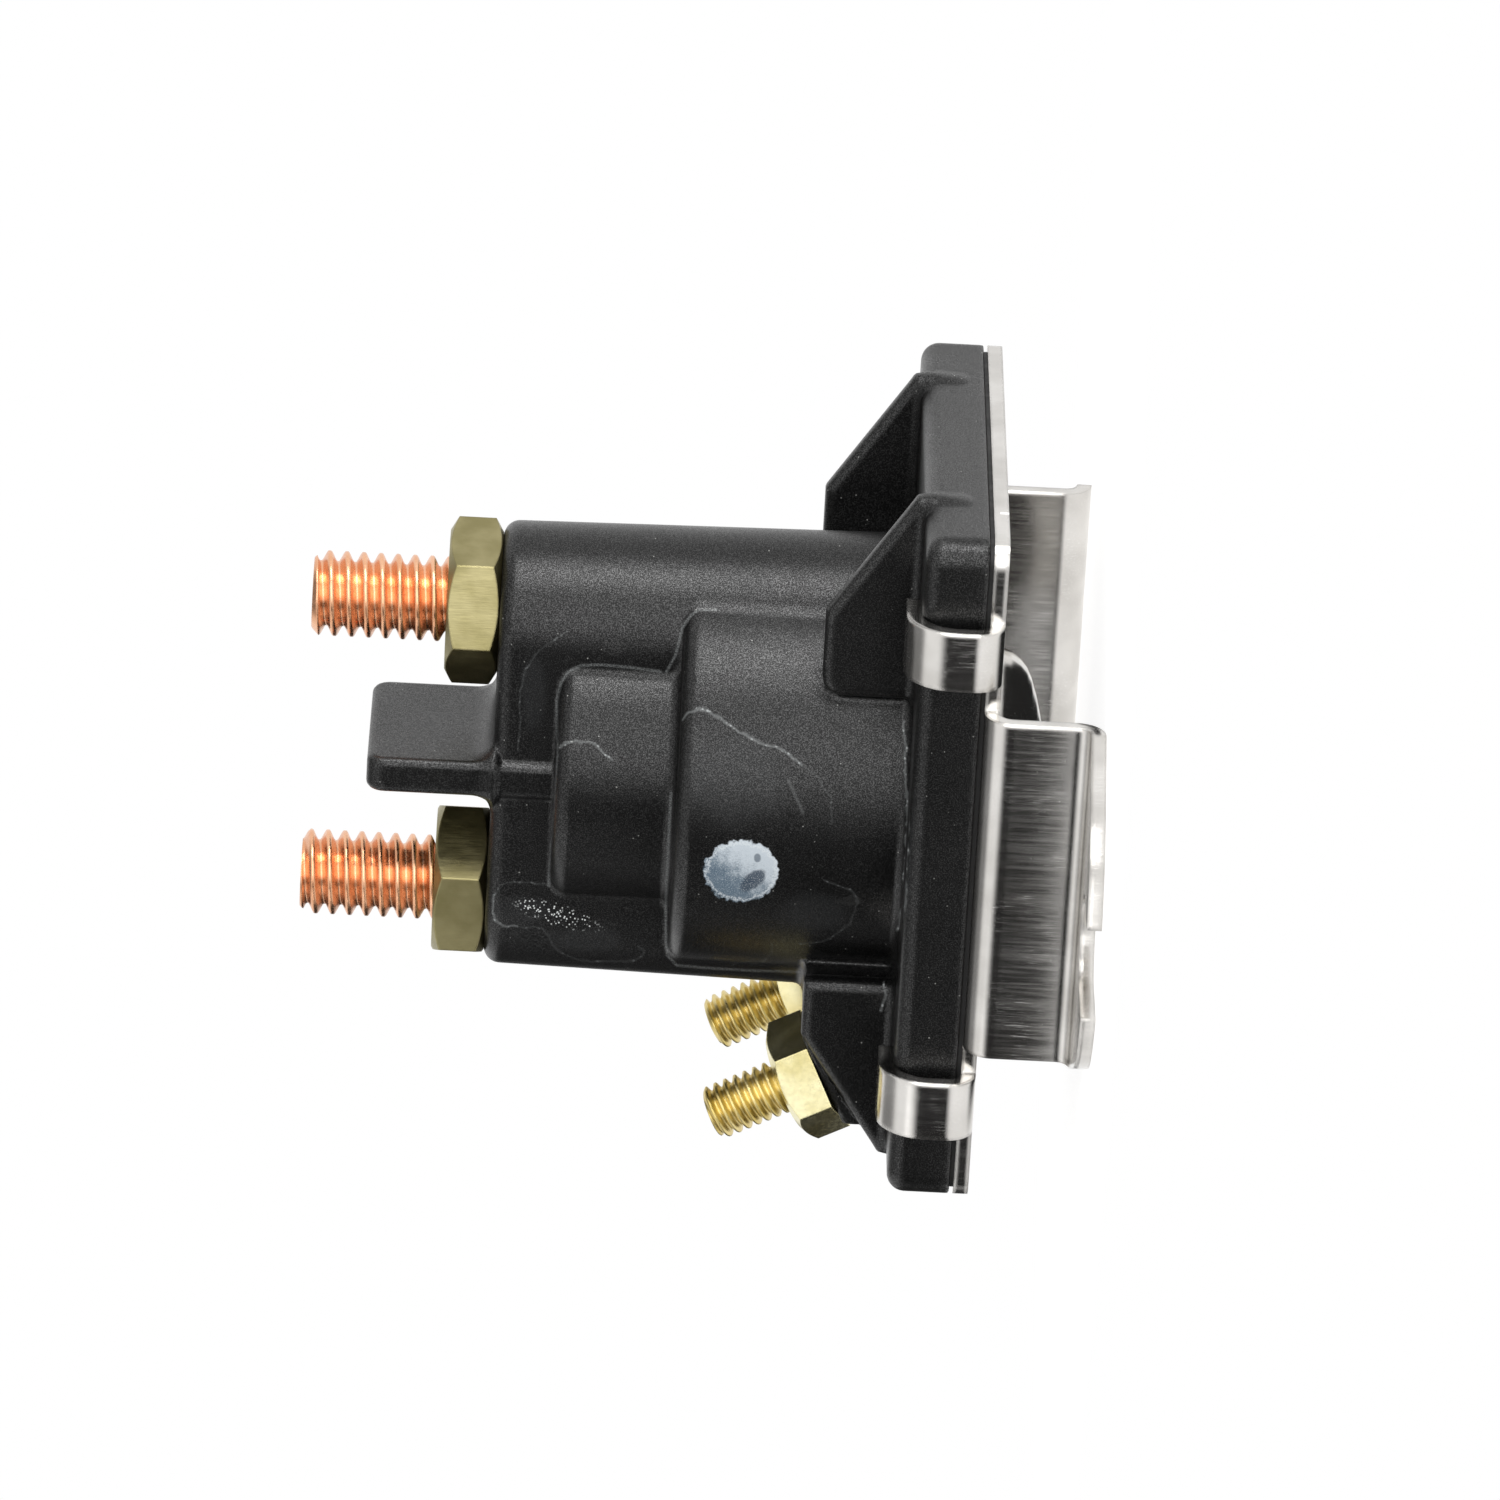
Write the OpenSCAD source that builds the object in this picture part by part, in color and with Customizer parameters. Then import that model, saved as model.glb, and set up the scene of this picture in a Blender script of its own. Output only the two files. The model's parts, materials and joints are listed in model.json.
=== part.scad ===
// Four terminal starter solenoid on a folded sheet bracket.
// Z runs from the mounting face of the two feet, at zero, up to the tips of the power studs.
// X runs across the body, from the control terminals at the low side to the plain side.
// Y runs through the body, from one foot to the other.

/* [Bracket] */
// Thickness of the bracket sheet
sheet_t = 1.1; // [0.9:0.1:1.4]
// Height from the mounting face to the back of the plate
foot_height = 7.7; // [7.2:0.1:12]
// Distance over the outer faces of the two foot walls
foot_span = 47; // [46.5:0.5:56]
// Width of each foot along X
foot_width = 26.6; // [22:0.1:29]
// How far each ear reaches out from its foot wall
ear_reach = 14.5; // [13:0.1:20]
// How much smaller the radius of each ear's round end is than half the foot's width
ear_taper = 2.2; // [1:0.1:4]
// Width of the open mounting slot in each ear
slot_width = 7; // [5:0.1:7.6]
// Distance from the foot wall to the centre of the slot's round end
slot_setback = 8.2; // [6.5:0.1:10]
// Inner radius of the bends in the bracket sheet
bend_r = 1; // [0.5:0.1:1.5]
// Radius of the pressed dome in the plate, at its base
dome_r = 9.2; // [8:0.1:10.5]
// Height of the pressed dome over the back of the plate
dome_height = 4.35; // [4:0.05:5]
// Width of each clip that folds round the flange
clip_width = 4.5; // [3:0.1:6]
// Distance of the four clips from the middle, along X
clip_x = 17.9; // [17:0.1:20]
// How far the clips stand out past the sides of the flange
clip_standoff = 2.3; // [2.1:0.1:2.8]
// How far each clip reaches in over the front of the flange
clip_reach = 4.2; // [3.8:0.1:5]
// How much rounder the clips fold over than the flange edge inside them
clip_ease = 1.3; // [1.1:0.1:1.5]

/* [Housing] */
// Length of the flange along X
flange_length = 52.3; // [50:0.1:58]
// Depth of the flange along Y
flange_depth = 42.2; // [40:0.1:42.8]
// Thickness of the flange
flange_t = 4.65; // [4:0.05:6]
// Corner radius of the flange
flange_corner_r = 1.9; // [1.6:0.1:4]
// Round on the front edges of the flange
flange_edge_r = 1.3; // [0.5:0.1:1.5]
// Height of the moulded body over the flange
body_height = 30.7; // [29:0.1:34]
// Full width of the oval body along X, at the stud end
oval_width = 34.7; // [33:0.1:36]
// Full depth of the oval body along Y, at the stud end
oval_depth = 14.2; // [13.6:0.1:16]
// Draft angle of the moulded walls
draft_angle = 1; // [0:0.1:1.5]
// Round on the front edges of the oval body and the drums
body_edge_r = 1.2; // [0.6:0.1:1.6]
// Outer radius of the coil drum
coil_drum_r = 15.5; // [15:0.1:17]
// Height of the coil drum over the flange
coil_drum_height = 17; // [16:0.1:19]
// Outer radius of the contact drum
contact_drum_r = 11.5; // [11:0.1:12.5]
// Height of the contact drum over the flange
contact_drum_height = 26; // [25:0.1:27.5]
// Wall thickness of the drums and the oval body
housing_wall = 1.6; // [1.2:0.1:1.8]
// Thickness of the end wall that carries the power studs
end_wall = 4; // [3.5:0.1:4.5]
// Thickness of the four gussets
gusset_t = 1.8; // [1.4:0.1:2.4]
// Distance between the outer faces of the gussets on one side
gusset_span = 26.2; // [25:0.1:28]
// Height of the gussets over the flange
gusset_height = 6.8; // [6:0.1:8]
// Thickness of the barrier between the power studs
barrier_t = 2.74; // [2:0.02:3.5]
// Depth of the barrier along Y
barrier_depth = 15.4; // [15:0.1:20]
// Height of the barrier over the end face
barrier_height = 9.3; // [5:0.1:12]
// Corner radius of the barrier
barrier_corner_r = 1.3; // [0.5:0.1:2]
// Fillet between the barrier and the end face
barrier_root_r = 1.9; // [0.5:0.1:2.2]

/* [Power terminals] */
// Distance between the two power studs
stud_pitch = 22.6; // [22:0.1:23.4]
// Outside diameter of the power stud thread
stud_d = 6.35; // [5:0.05:6.5]
// Height of the power stud tips over the end face
stud_height = 13.95; // [11:0.05:18]
// Width of the power nuts across the flats
nut_flats = 10.8; // [10:0.1:12]
// Thickness of the power nuts
nut_t = 3.95; // [3:0.05:5.5]
// Diameter of the round contact heads of the power studs
stud_head_d = 8.6; // [8:0.1:8.8]
// Thickness of the contact heads
stud_head_t = 2.3; // [1.8:0.1:2.6]

/* [Control terminals] */
// Tilt of the control studs away from the body
control_tilt = 27.2; // [22:0.1:32]
// Distance between the two control studs
control_pitch = 16.4; // [14:0.1:16.8]
// Outside diameter of the control stud thread
control_stud_d = 4.166; // [3.5:0.001:4.8]
// Bare length of the control studs over their nuts
control_free_length = 6.07; // [4:0.01:9]
// Width of the control nuts across the flats
control_nut_flats = 8.25; // [7.5:0.01:9.5]
// Thickness of the control nuts
control_nut_t = 3.2; // [2.4:0.1:4]
// Distance from the middle of the body to the control studs, at their seat
control_seat_x = 21.66; // [21:0.01:22.5]
// Height of the control stud seat over the flange, on the stud axis
control_seat_height = 4.72; // [4.4:0.01:5.5]

/* [Coil and plunger] */
// Thickness of the gasket under the flange
gasket_t = 0.3; // [0.2:0.05:0.5]
// Thickness of the steel coil cup
cup_t = 1.2; // [0.8:0.1:1.4]
// Thickness of the fibre washer over the coil cup
fibre_t = 0.5; // [0.3:0.05:0.8]
// Radius of the plunger
plunger_r = 4; // [3.6:0.1:4.2]
// Length of the plunger
plunger_length = 13.7; // [11:0.1:14]
// Gap left between plunger and pole when the contacts close
pole_gap = 0.3; // [0.2:0.05:0.6]
// Radius of the push rod
rod_r = 1.2; // [1:0.05:1.4]
// Gap between the contact disc and the stud heads at rest
contact_gap = 2; // [1.5:0.05:2.2]
// Radius of the contact disc
disc_r = 9.6; // [9:0.1:9.8]
// Thickness of the contact disc
disc_t = 1.3; // [1:0.1:1.6]

/* [Hidden] */
$fn = 64;
eps = 0.01;

// Levels along Z, from the feet to the stud tips
plate_back = foot_height;
plate_front = plate_back + sheet_t;
flange_back = plate_front + gasket_t;
flange_front = flange_back + flange_t;
end_face = flange_front + body_height;
coil_drum_top = flange_front + coil_drum_height;
contact_drum_top = flange_front + contact_drum_height;
chamber_ceiling = end_face - end_wall;

// The oval body: two round ends joined by flat sides
oval_top_r = oval_depth / 2;
oval_base_r = oval_top_r + body_height * tan(draft_angle);
oval_centre_x = oval_width / 2 - oval_top_r;

// Chambers inside the housing
coil_chamber_r = coil_drum_r - housing_wall;
coil_chamber_top = coil_drum_top - housing_wall;
contact_chamber_r = contact_drum_r - housing_wall + 0.1;
contact_chamber_top = contact_drum_top - housing_wall + 0.2;
pocket_r = oval_top_r - housing_wall + 0.1;

// Clearances between neighbouring pieces
fit_clear = 0.02;
slide_clear = 0.08;
wall_clear = 0.1;

// Power stud heads and the square neck that stops them turning
contact_roof_gap = 0.2;
head_z = contact_chamber_top - contact_roof_gap;
head_top = head_z + stud_head_t;
neck_side = stud_d * 0.92;
neck_t = 1.6;
thread_chamfer = 0.6;
shank_relief = 0.2;

// Control terminal axis, from the seat outward
control_head_d = 6.4;
control_head_t = 1.4;
control_wall = 3;
control_pocket_r = control_head_d / 2 + 0.5;
control_chamfer = 0.6;

// Coil stack inside the cup
cup_outer_r = coil_chamber_r - wall_clear;
cup_inner_r = cup_outer_r - cup_t;
cup_top = coil_chamber_top - fibre_t;
cup_ceiling = cup_top - cup_t;
sleeve_inner_r = plunger_r + slide_clear;
sleeve_t = 0.35;
sleeve_outer_r = sleeve_inner_r + sleeve_t;
bobbin_bore_r = sleeve_outer_r + fit_clear;
bobbin_tube_r = bobbin_bore_r + 0.8;
bobbin_flange_r = cup_inner_r - wall_clear;
bobbin_flange_t = 0.9;
bobbin_bottom = plate_front + 0.05;
bobbin_top = cup_ceiling - 0.05;
winding_outer_r = bobbin_flange_r - 0.6;
winding_bottom = bobbin_bottom + bobbin_flange_t + fit_clear;
winding_top = bobbin_top - bobbin_flange_t - fit_clear;
wrap_t = 0.25;
wire_r = 0.45;
lead_y = control_pitch / 2 - 2.4;
lead_z = winding_bottom + 1.2;
lead_bend_reach = 3.2;
lead_bend_shift = 1.2;

// Plunger, rod and disc at rest
bumper_t = 0.8;
bumper_r = plunger_r - 0.6;
dome_floor = plate_back - dome_height + sheet_t;
bumper_bottom = dome_floor + 0.32;
plunger_bottom = bumper_bottom + bumper_t;
plunger_top = plunger_bottom + plunger_length;
closing_clear = 0.05;
travel = contact_gap - closing_clear;
pole_bottom = plunger_top + travel + pole_gap;
pole_r = plunger_r + slide_clear / 2;
pole_neck_r = 2.6;
pole_bore_r = rod_r + slide_clear;
spring_bore_r = 2.9;
spring_bore_depth = 4.5;
spring_seat = plunger_top - spring_bore_depth;
disc_top = head_z - contact_gap;
disc_bottom = disc_top - disc_t;
insulator_r = 4;
insulator_t = 0.8;
insulator_neck_r = 2.2;
upper_washer_t = 0.6;
clip_ring_t = 0.5;
clip_groove_r = rod_r - 0.25;
rod_bottom = spring_seat - 4.2;
rod_top = disc_top + upper_washer_t + clip_ring_t + 0.6;
collar_r = 2.6;
collar_t = 0.8;
collar_bottom = coil_chamber_top + 0.65;
collar_top = collar_bottom + collar_t;
contact_spring_top = disc_bottom - insulator_t;

// Springs, with as many turns as their space holds at the given pitch
spring_gap = 0.01;
return_wire_r = 0.25;
return_spring_r = 2.25;
return_coil_pitch = 1.05;
contact_wire_r = 0.3;
contact_spring_r = 1.95;
contact_coil_pitch = 0.78;

// Colours
housing_colour = [0.13, 0.13, 0.135];
plate_colour = [0.78, 0.77, 0.74];
copper_colour = [0.8, 0.47, 0.33];
brass_colour = [0.72, 0.63, 0.36];
steel_colour = [0.6, 0.6, 0.62];
nylon_colour = [0.87, 0.85, 0.78];
fibre_colour = [0.55, 0.3, 0.2];
rubber_colour = [0.1, 0.1, 0.1];

// Outline helpers

// One outer corner square, less its round, to take off a sharp corner
module corner_cut(r) {
  difference() {
    translate([-eps, -eps])
      square([r + eps, r + eps]);
    translate([r, r])
      circle(r);
  }
}

// A rectangle about the origin with four round corners
module round_rect(width, depth, r) {
  square([width - 2 * r, depth], center = true);
  square([width, depth - 2 * r], center = true);
  for (sx = [-1, 1])
    for (sy = [-1, 1])
      translate([sx * (width / 2 - r), sy * (depth / 2 - r)])
        circle(r);
}

// Half section of a drafted round post with a round front edge
module post_half(base_r, top_r, height, edge_r) {
  polygon([[0, 0], [base_r, 0], [top_r, height - edge_r], [top_r - edge_r, height], [0, height]]);
  translate([top_r - edge_r, height - edge_r])
    circle(edge_r, $fn = 32);
}

// Drafted drum standing on the flange
module drum(top_r, height) {
  rotate_extrude()
    post_half(top_r + height * tan(draft_angle) / 2, top_r, height, body_edge_r);
}

// Oval post standing on the flange
module oval_post(base_r, top_r, height, edge_r) {
  for (side = [-1, 1])
    translate([side * oval_centre_x, 0, 0])
      rotate_extrude()
        post_half(base_r, top_r, height, edge_r);
  for (side = [0, 1])
    mirror([0, side, 0])
      rotate([90, 0, 90])
        linear_extrude(2 * oval_centre_x, center = true)
          post_half(base_r, top_r, height, edge_r);
}

// Turns the outline drawn with X across and Y up into a wall standing along Y
module wall_along_y(thickness) {
  rotate([90, 0, 0])
    linear_extrude(thickness, center = true)
      children();
}

// Places children on one control stud axis, with Z outward and zero at the seat
module at_control(side) {
  translate([-control_seat_x, side * control_pitch / 2, flange_front + control_seat_height])
    rotate([0, -control_tilt, 0])
      children();
}

// Housing

// Section of a flange as wide as given, its top at zero and both top corners round
module flange_section(width) {
  difference() {
    translate([-width / 2, -flange_t])
      square([width, flange_t]);
    for (side = [0, 1])
      mirror([side, 0])
        translate([-width / 2, 0])
          mirror([0, 1])
            corner_cut(flange_edge_r);
  }
}

// Flange with all four front edges round
module flange_block() {
  intersection() {
    translate([0, 0, flange_back])
      linear_extrude(flange_t)
        round_rect(flange_length, flange_depth, flange_corner_r);
    translate([0, 0, flange_front])
      rotate([90, 0, 90])
        linear_extrude(flange_length + 2, center = true)
          flange_section(flange_depth);
    translate([0, 0, flange_front])
      wall_along_y(flange_depth + 2)
        flange_section(flange_length);
  }
}

// Outline of one gusset, with X across the flange and Y up from its front
module gusset_outline() {
  foot_x = coil_drum_r * 0.71;
  shoulder_x = coil_drum_r * 1.1;
  tip_x = flange_length / 2 - 0.35;
  polygon([[foot_x, -1], [foot_x, gusset_height], [shoulder_x, gusset_height],
    [tip_x - 0.4, 1], [tip_x, 0.5], [tip_x, -1]]);
}

// The web that joins the foot of a gusset to the coil drum
module gusset_web() {
  web_x = coil_drum_r * 0.645;
  translate([web_x, gusset_span / 2 - gusset_t - 2.6, flange_front - 1])
    cube([1.9, 3.4, gusset_height + 0.6]);
}

// Four gussets, two above and two below the body
module gussets() {
  for (side_x = [0, 1])
    for (side_y = [0, 1])
      mirror([side_x, 0, 0])
        mirror([0, side_y, 0]) {
          translate([0, gusset_span / 2 - gusset_t / 2, flange_front])
            wall_along_y(gusset_t)
              gusset_outline();
          gusset_web();
        }
}

// Wall between the power studs, running on as a rib down to the contact drum
module barrier() {
  low = contact_drum_top - 1;
  high = end_face + barrier_height;
  root_x = barrier_t / 2 + barrier_root_r;
  translate([0, 0, end_face])
    wall_along_y(oval_depth - 2 * body_edge_r)
      difference() {
        translate([-root_x, -1])
          square([2 * root_x, barrier_root_r + 1]);
        for (side = [-1, 1])
          translate([side * root_x, barrier_root_r])
            circle(barrier_root_r);
      }
  rotate([90, 0, 90])
    linear_extrude(barrier_t, center = true)
      difference() {
        translate([-barrier_depth / 2, low])
          square([barrier_depth, high - low]);
        for (side = [0, 1])
          mirror([side, 0])
            translate([-barrier_depth / 2, high])
              mirror([0, 1])
                corner_cut(barrier_corner_r);
      }
}

// Sloping seat for the two control studs, between the lower gussets
module control_seat() {
  slope = tan(control_tilt);
  inner_x = -coil_drum_r * 0.8;
  outer_x = -control_seat_x - 2.9;
  top_height = gusset_height - 0.1;
  ridge_x = -control_seat_x + (top_height - control_seat_height) / slope;
  outer_height = control_seat_height - 2.9 * slope;
  translate([0, 0, flange_front])
    wall_along_y(gusset_span - 2 * gusset_t + 0.2)
      polygon([[inner_x, -1], [inner_x, top_height], [ridge_x, top_height], [outer_x, outer_height],
        [outer_x, -1]]);
}

// Everything that is taken out of the housing
module housing_hollow() {
  translate([0, 0, flange_back - 1])
    cylinder(r = coil_chamber_r, h = coil_chamber_top - flange_back + 1);
  translate([0, 0, flange_back])
    cylinder(r = contact_chamber_r, h = contact_chamber_top - flange_back);
  translate([0, 0, contact_chamber_top - 3])
    linear_extrude(chamber_ceiling - contact_chamber_top + 3) {
      square([2 * oval_centre_x, 2 * pocket_r], center = true);
      for (side = [-1, 1])
        translate([side * oval_centre_x, 0])
          circle(pocket_r);
    }
  for (side = [-1, 1])
    translate([side * stud_pitch / 2, 0, chamber_ceiling - 1]) {
      cylinder(d = stud_d + 2 * fit_clear, h = end_wall + 2);
      translate([0, 0, neck_t / 2 + 0.5])
        cube([neck_side + 2 * fit_clear, neck_side + 2 * fit_clear, neck_t + 1], center = true);
      translate([0, 0, head_z - chamber_ceiling + 1])
        cylinder(d = stud_head_d + 2 * wall_clear, h = stud_head_t);
    }
  for (side = [-1, 1])
    translate([-coil_chamber_r - 1, side * (lead_y + 0.4), lead_z - 1.7])
      cube([6, 3.8, 6.6], center = true);
  for (side = [-1, 1])
    at_control(side) {
      translate([0, 0, -control_wall - 14])
        cylinder(r = control_pocket_r, h = 14);
      translate([0, 0, -control_wall - 1])
        cylinder(d = control_stud_d + 2 * fit_clear, h = control_wall + 2);
    }
}

// Moulded housing, open at its base
module housing() {
  color(housing_colour)
    difference() {
      union() {
        flange_block();
        translate([0, 0, flange_front - 1]) {
          oval_post(oval_base_r, oval_top_r, body_height + 1, body_edge_r);
          drum(coil_drum_r, coil_drum_height + 1);
          drum(contact_drum_r, contact_drum_height + 1);
        }
        gussets();
        barrier();
        control_seat();
      }
      housing_hollow();
    }
}

// Bracket

// Outline of the plate with the wings that carry the feet
module plate_outline() {
  wing_depth = foot_span - 2 * (bend_r + sheet_t);
  round_rect(flange_length, flange_depth, flange_corner_r);
  square([foot_width, wing_depth], center = true);
}

// Half section of the pressed dome, with Y away from the back of the plate.
// A wide crown arc runs into a tighter arc at the rim.
module dome_half(inset) {
  crown_r = 20;
  knuckle_r = 3.5;
  knuckle_x = dome_r - knuckle_r;
  crown_y = dome_height - crown_r;
  knuckle_y = crown_y + sqrt(pow(crown_r - knuckle_r, 2) - pow(knuckle_x, 2));
  meet_angle = atan2(knuckle_y - crown_y, knuckle_x);
  rim_angle = asin(-knuckle_y / knuckle_r);
  steps = 5;
  crown = [for (i = [0 : steps]) let (a = 90 - (90 - meet_angle) * i / steps)
    [(crown_r - inset) * cos(a), crown_y + (crown_r - inset) * sin(a)]];
  knuckle = [for (i = [1 : steps]) let (a = meet_angle - (meet_angle - rim_angle) * i / steps)
    [knuckle_x + (knuckle_r - inset) * cos(a), knuckle_y + (knuckle_r - inset) * sin(a)]];
  rim_x = knuckle_x + (knuckle_r - inset) * cos(rim_angle);
  polygon(concat([[0, -sheet_t - 1]], crown, knuckle, [[rim_x, -sheet_t - 1]]));
}

// Solid of the dome, pointing down from the back of the plate
module dome_solid(inset, depth_limit) {
  intersection() {
    translate([0, 0, plate_back])
      mirror([0, 0, 1])
        rotate_extrude()
          dome_half(inset);
    translate([0, 0, plate_back - 2 * dome_r + depth_limit])
      cube([4 * dome_r, 4 * dome_r, 4 * dome_r], center = true);
  }
}

// Cross section of one foot on the high Y side, with X across as Y and Y up as Z
module foot_section() {
  outer_r = bend_r + sheet_t;
  wall_y = foot_span / 2;
  difference() {
    union() {
      translate([flange_depth / 2 - 2, plate_back])
        square([wall_y - outer_r - flange_depth / 2 + 2, sheet_t]);
      translate([wall_y - outer_r, plate_front - outer_r])
        intersection() {
          circle(outer_r);
          square(outer_r);
        }
    }
    translate([wall_y - outer_r, plate_front - outer_r])
      circle(bend_r);
  }
  translate([wall_y - sheet_t, outer_r])
    square([sheet_t, plate_front - 2 * outer_r]);
  difference() {
    translate([wall_y + bend_r, outer_r])
      intersection() {
        circle(outer_r);
        translate([-outer_r, -outer_r])
          square(outer_r);
      }
    translate([wall_y + bend_r, outer_r])
      circle(bend_r);
  }
  translate([wall_y + bend_r, 0])
    square([ear_reach - bend_r, sheet_t]);
}

// Outline of one ear seen from above, with its open slot, on the high Y side
module ear_outline() {
  half = foot_width / 2;
  wall_y = foot_span / 2;
  tip_y = wall_y + ear_reach;
  tip_r = half - ear_taper;
  root = [half, wall_y + bend_r];
  centre = [0, tip_y - tip_r];
  gap = root - centre;
  touch_angle = atan2(gap[1], gap[0]) + acos(tip_r / norm(gap));
  touch = centre + tip_r * [cos(touch_angle), sin(touch_angle)];
  difference() {
    union() {
      polygon([[-half, 0], [half, 0], root, touch, [-touch[0], touch[1]], [-root[0], root[1]]]);
      translate(centre)
        circle(tip_r);
    }
    translate([0, wall_y + slot_setback])
      circle(d = slot_width);
    translate([-slot_width / 2, wall_y + slot_setback])
      square([slot_width, ear_reach]);
  }
}

// One foot on the high Y side
module foot() {
  intersection() {
    rotate([90, 0, 90])
      linear_extrude(foot_width, center = true)
        foot_section();
    translate([0, 0, -1])
      linear_extrude(plate_front + 2)
        ear_outline();
  }
}

// Cross section of a clip on the high Y side, with X across as Y and Y up as Z
module clip_section() {
  outer_y = flange_depth / 2 + clip_standoff;
  inner_y = outer_y - sheet_t;
  low_r = bend_r + sheet_t;
  high_r = flange_edge_r + clip_ease + sheet_t;
  top = flange_front + sheet_t;
  arm_end = flange_depth / 2 - clip_reach;
  difference() {
    translate([arm_end, plate_back])
      square([outer_y - arm_end, top - plate_back]);
    translate([outer_y, plate_back])
      mirror([1, 0])
        corner_cut(low_r);
    translate([outer_y, top])
      rotate(180)
        corner_cut(high_r);
    difference() {
      translate([arm_end - 1, plate_front])
        square([inner_y - arm_end + 1, flange_front - plate_front]);
      translate([inner_y, plate_front])
        mirror([1, 0])
          corner_cut(low_r - sheet_t);
      translate([inner_y, flange_front])
        rotate(180)
          corner_cut(high_r - sheet_t);
    }
  }
}

// One clip on the high Y side
module clip_band() {
  rotate([90, 0, 90])
    linear_extrude(clip_width, center = true)
      clip_section();
}

// Bracket in one piece: plate, dome, four clips and two feet
module mounting_plate() {
  color(plate_colour)
    difference() {
      union() {
        translate([0, 0, plate_back])
          linear_extrude(sheet_t)
            plate_outline();
        dome_solid(0, eps);
        for (side = [0, 1])
          mirror([0, side, 0]) {
            foot();
            for (side_x = [-1, 1])
              translate([side_x * clip_x, 0, 0])
                clip_band();
          }
      }
      dome_solid(sheet_t, sheet_t + 1);
    }
}

// Gasket between the flange and the plate
module base_gasket() {
  inset = 0.5;
  color(rubber_colour)
    translate([0, 0, plate_front])
      linear_extrude(gasket_t)
        difference() {
          round_rect(flange_length - 2 * inset, flange_depth - 2 * inset, flange_corner_r - inset);
          circle(coil_chamber_r);
          translate([-control_seat_x, -control_pitch / 2 - control_pocket_r])
            square([control_seat_x, control_pitch + 2 * control_pocket_r]);
        }
}

// Power terminals

// One copper stud with its contact head and square neck, standing at its own axis
module power_stud() {
  top = end_face + stud_height;
  neck_top = chamber_ceiling + neck_t;
  nut_face = end_face + nut_t;
  r = stud_d / 2;
  intersection() {
    translate([0, 0, head_z])
      cylinder(d = stud_head_d, h = stud_head_t);
    translate([0, 0, head_z + stud_head_t / 2])
      cube([stud_head_d + 1, stud_head_d - 0.8, stud_head_t + 1], center = true);
  }
  translate([0, 0, (head_top + neck_top) / 2])
    cube([neck_side, neck_side, neck_top - head_top], center = true);
  rotate_extrude()
    polygon([[0, neck_top - 0.4], [r - shank_relief, neck_top - 0.4], [r - shank_relief, nut_face],
      [r, nut_face], [r, top - thread_chamfer], [r - thread_chamfer, top], [0, top]]);
}

module battery_stud() {
  color(copper_colour)
    translate([stud_pitch / 2, 0, 0])
      power_stud();
}

module motor_stud() {
  color(copper_colour)
    translate([-stud_pitch / 2, 0, 0])
      power_stud();
}

// Hexagon nut with turned faces, its base at zero. The face is given as a share of the flats.
module hex_nut(flats, thickness, bore_d, face_share, both_faces) {
  corner_r = flats / 2 / cos(30);
  face_r = flats / 2 * face_share;
  drop = (corner_r - face_r) * tan(30);
  base_r = both_faces ? face_r : corner_r + 1;
  difference() {
    intersection() {
      cylinder(r = corner_r, h = thickness, $fn = 6);
      rotate_extrude()
        polygon([[0, 0], [base_r, 0], [corner_r, both_faces ? drop : 0], [corner_r, thickness - drop],
          [face_r, thickness], [0, thickness]]);
    }
    translate([0, 0, -1])
      cylinder(d = bore_d, h = thickness + 2);
  }
}

// Angles at which the photographed nuts were left when tightened
battery_nut_turn = 16;
motor_nut_turn = 53;
control_nut_turn = 15;

module battery_nut() {
  color(brass_colour)
    translate([stud_pitch / 2, 0, end_face])
      rotate(battery_nut_turn)
        hex_nut(nut_flats, nut_t, stud_d + 2 * fit_clear, 0.96, true);
}

module motor_nut() {
  color(brass_colour)
    translate([-stud_pitch / 2, 0, end_face])
      rotate(motor_nut_turn)
        hex_nut(nut_flats, nut_t, stud_d + 2 * fit_clear, 0.96, true);
}

// Control terminals

// One brass stud on the control axis, with a flat head inside the housing
module control_stud(side) {
  top = control_nut_t + control_free_length;
  r = control_stud_d / 2;
  at_control(side) {
    translate([0, 0, -control_wall - control_head_t])
      cylinder(d = control_head_d, h = control_head_t);
    rotate_extrude()
      polygon([[0, -control_wall - 0.5], [r - shank_relief, -control_wall - 0.5],
        [r - shank_relief, control_nut_t], [r, control_nut_t], [r, top - control_chamfer],
        [r - control_chamfer, top], [0, top]]);
  }
}

module signal_stud() {
  color(brass_colour)
    control_stud(-1);
}

module ground_stud() {
  color(brass_colour)
    control_stud(1);
}

module control_nut(side) {
  at_control(side)
    rotate(control_nut_turn)
      hex_nut(control_nut_flats, control_nut_t, control_stud_d + 2 * fit_clear, 0.9, false);
}

module signal_nut() {
  color(brass_colour)
    control_nut(-1);
}

module ground_nut() {
  color(brass_colour)
    control_nut(1);
}

// Coil stack

module coil_bobbin() {
  color(nylon_colour)
    rotate_extrude()
      polygon([[bobbin_bore_r, bobbin_bottom], [bobbin_flange_r, bobbin_bottom],
        [bobbin_flange_r, bobbin_bottom + bobbin_flange_t], [bobbin_tube_r, bobbin_bottom + bobbin_flange_t],
        [bobbin_tube_r, bobbin_top - bobbin_flange_t], [bobbin_flange_r, bobbin_top - bobbin_flange_t],
        [bobbin_flange_r, bobbin_top], [bobbin_bore_r, bobbin_top]]);
}

module ring(inner_r, outer_r, low, high) {
  translate([0, 0, low])
    difference() {
      cylinder(r = outer_r, h = high - low);
      translate([0, 0, -1])
        cylinder(r = inner_r, h = high - low + 2);
    }
}

module coil_winding() {
  color(copper_colour)
    ring(bobbin_tube_r + fit_clear, winding_outer_r, winding_bottom, winding_top);
}

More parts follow.
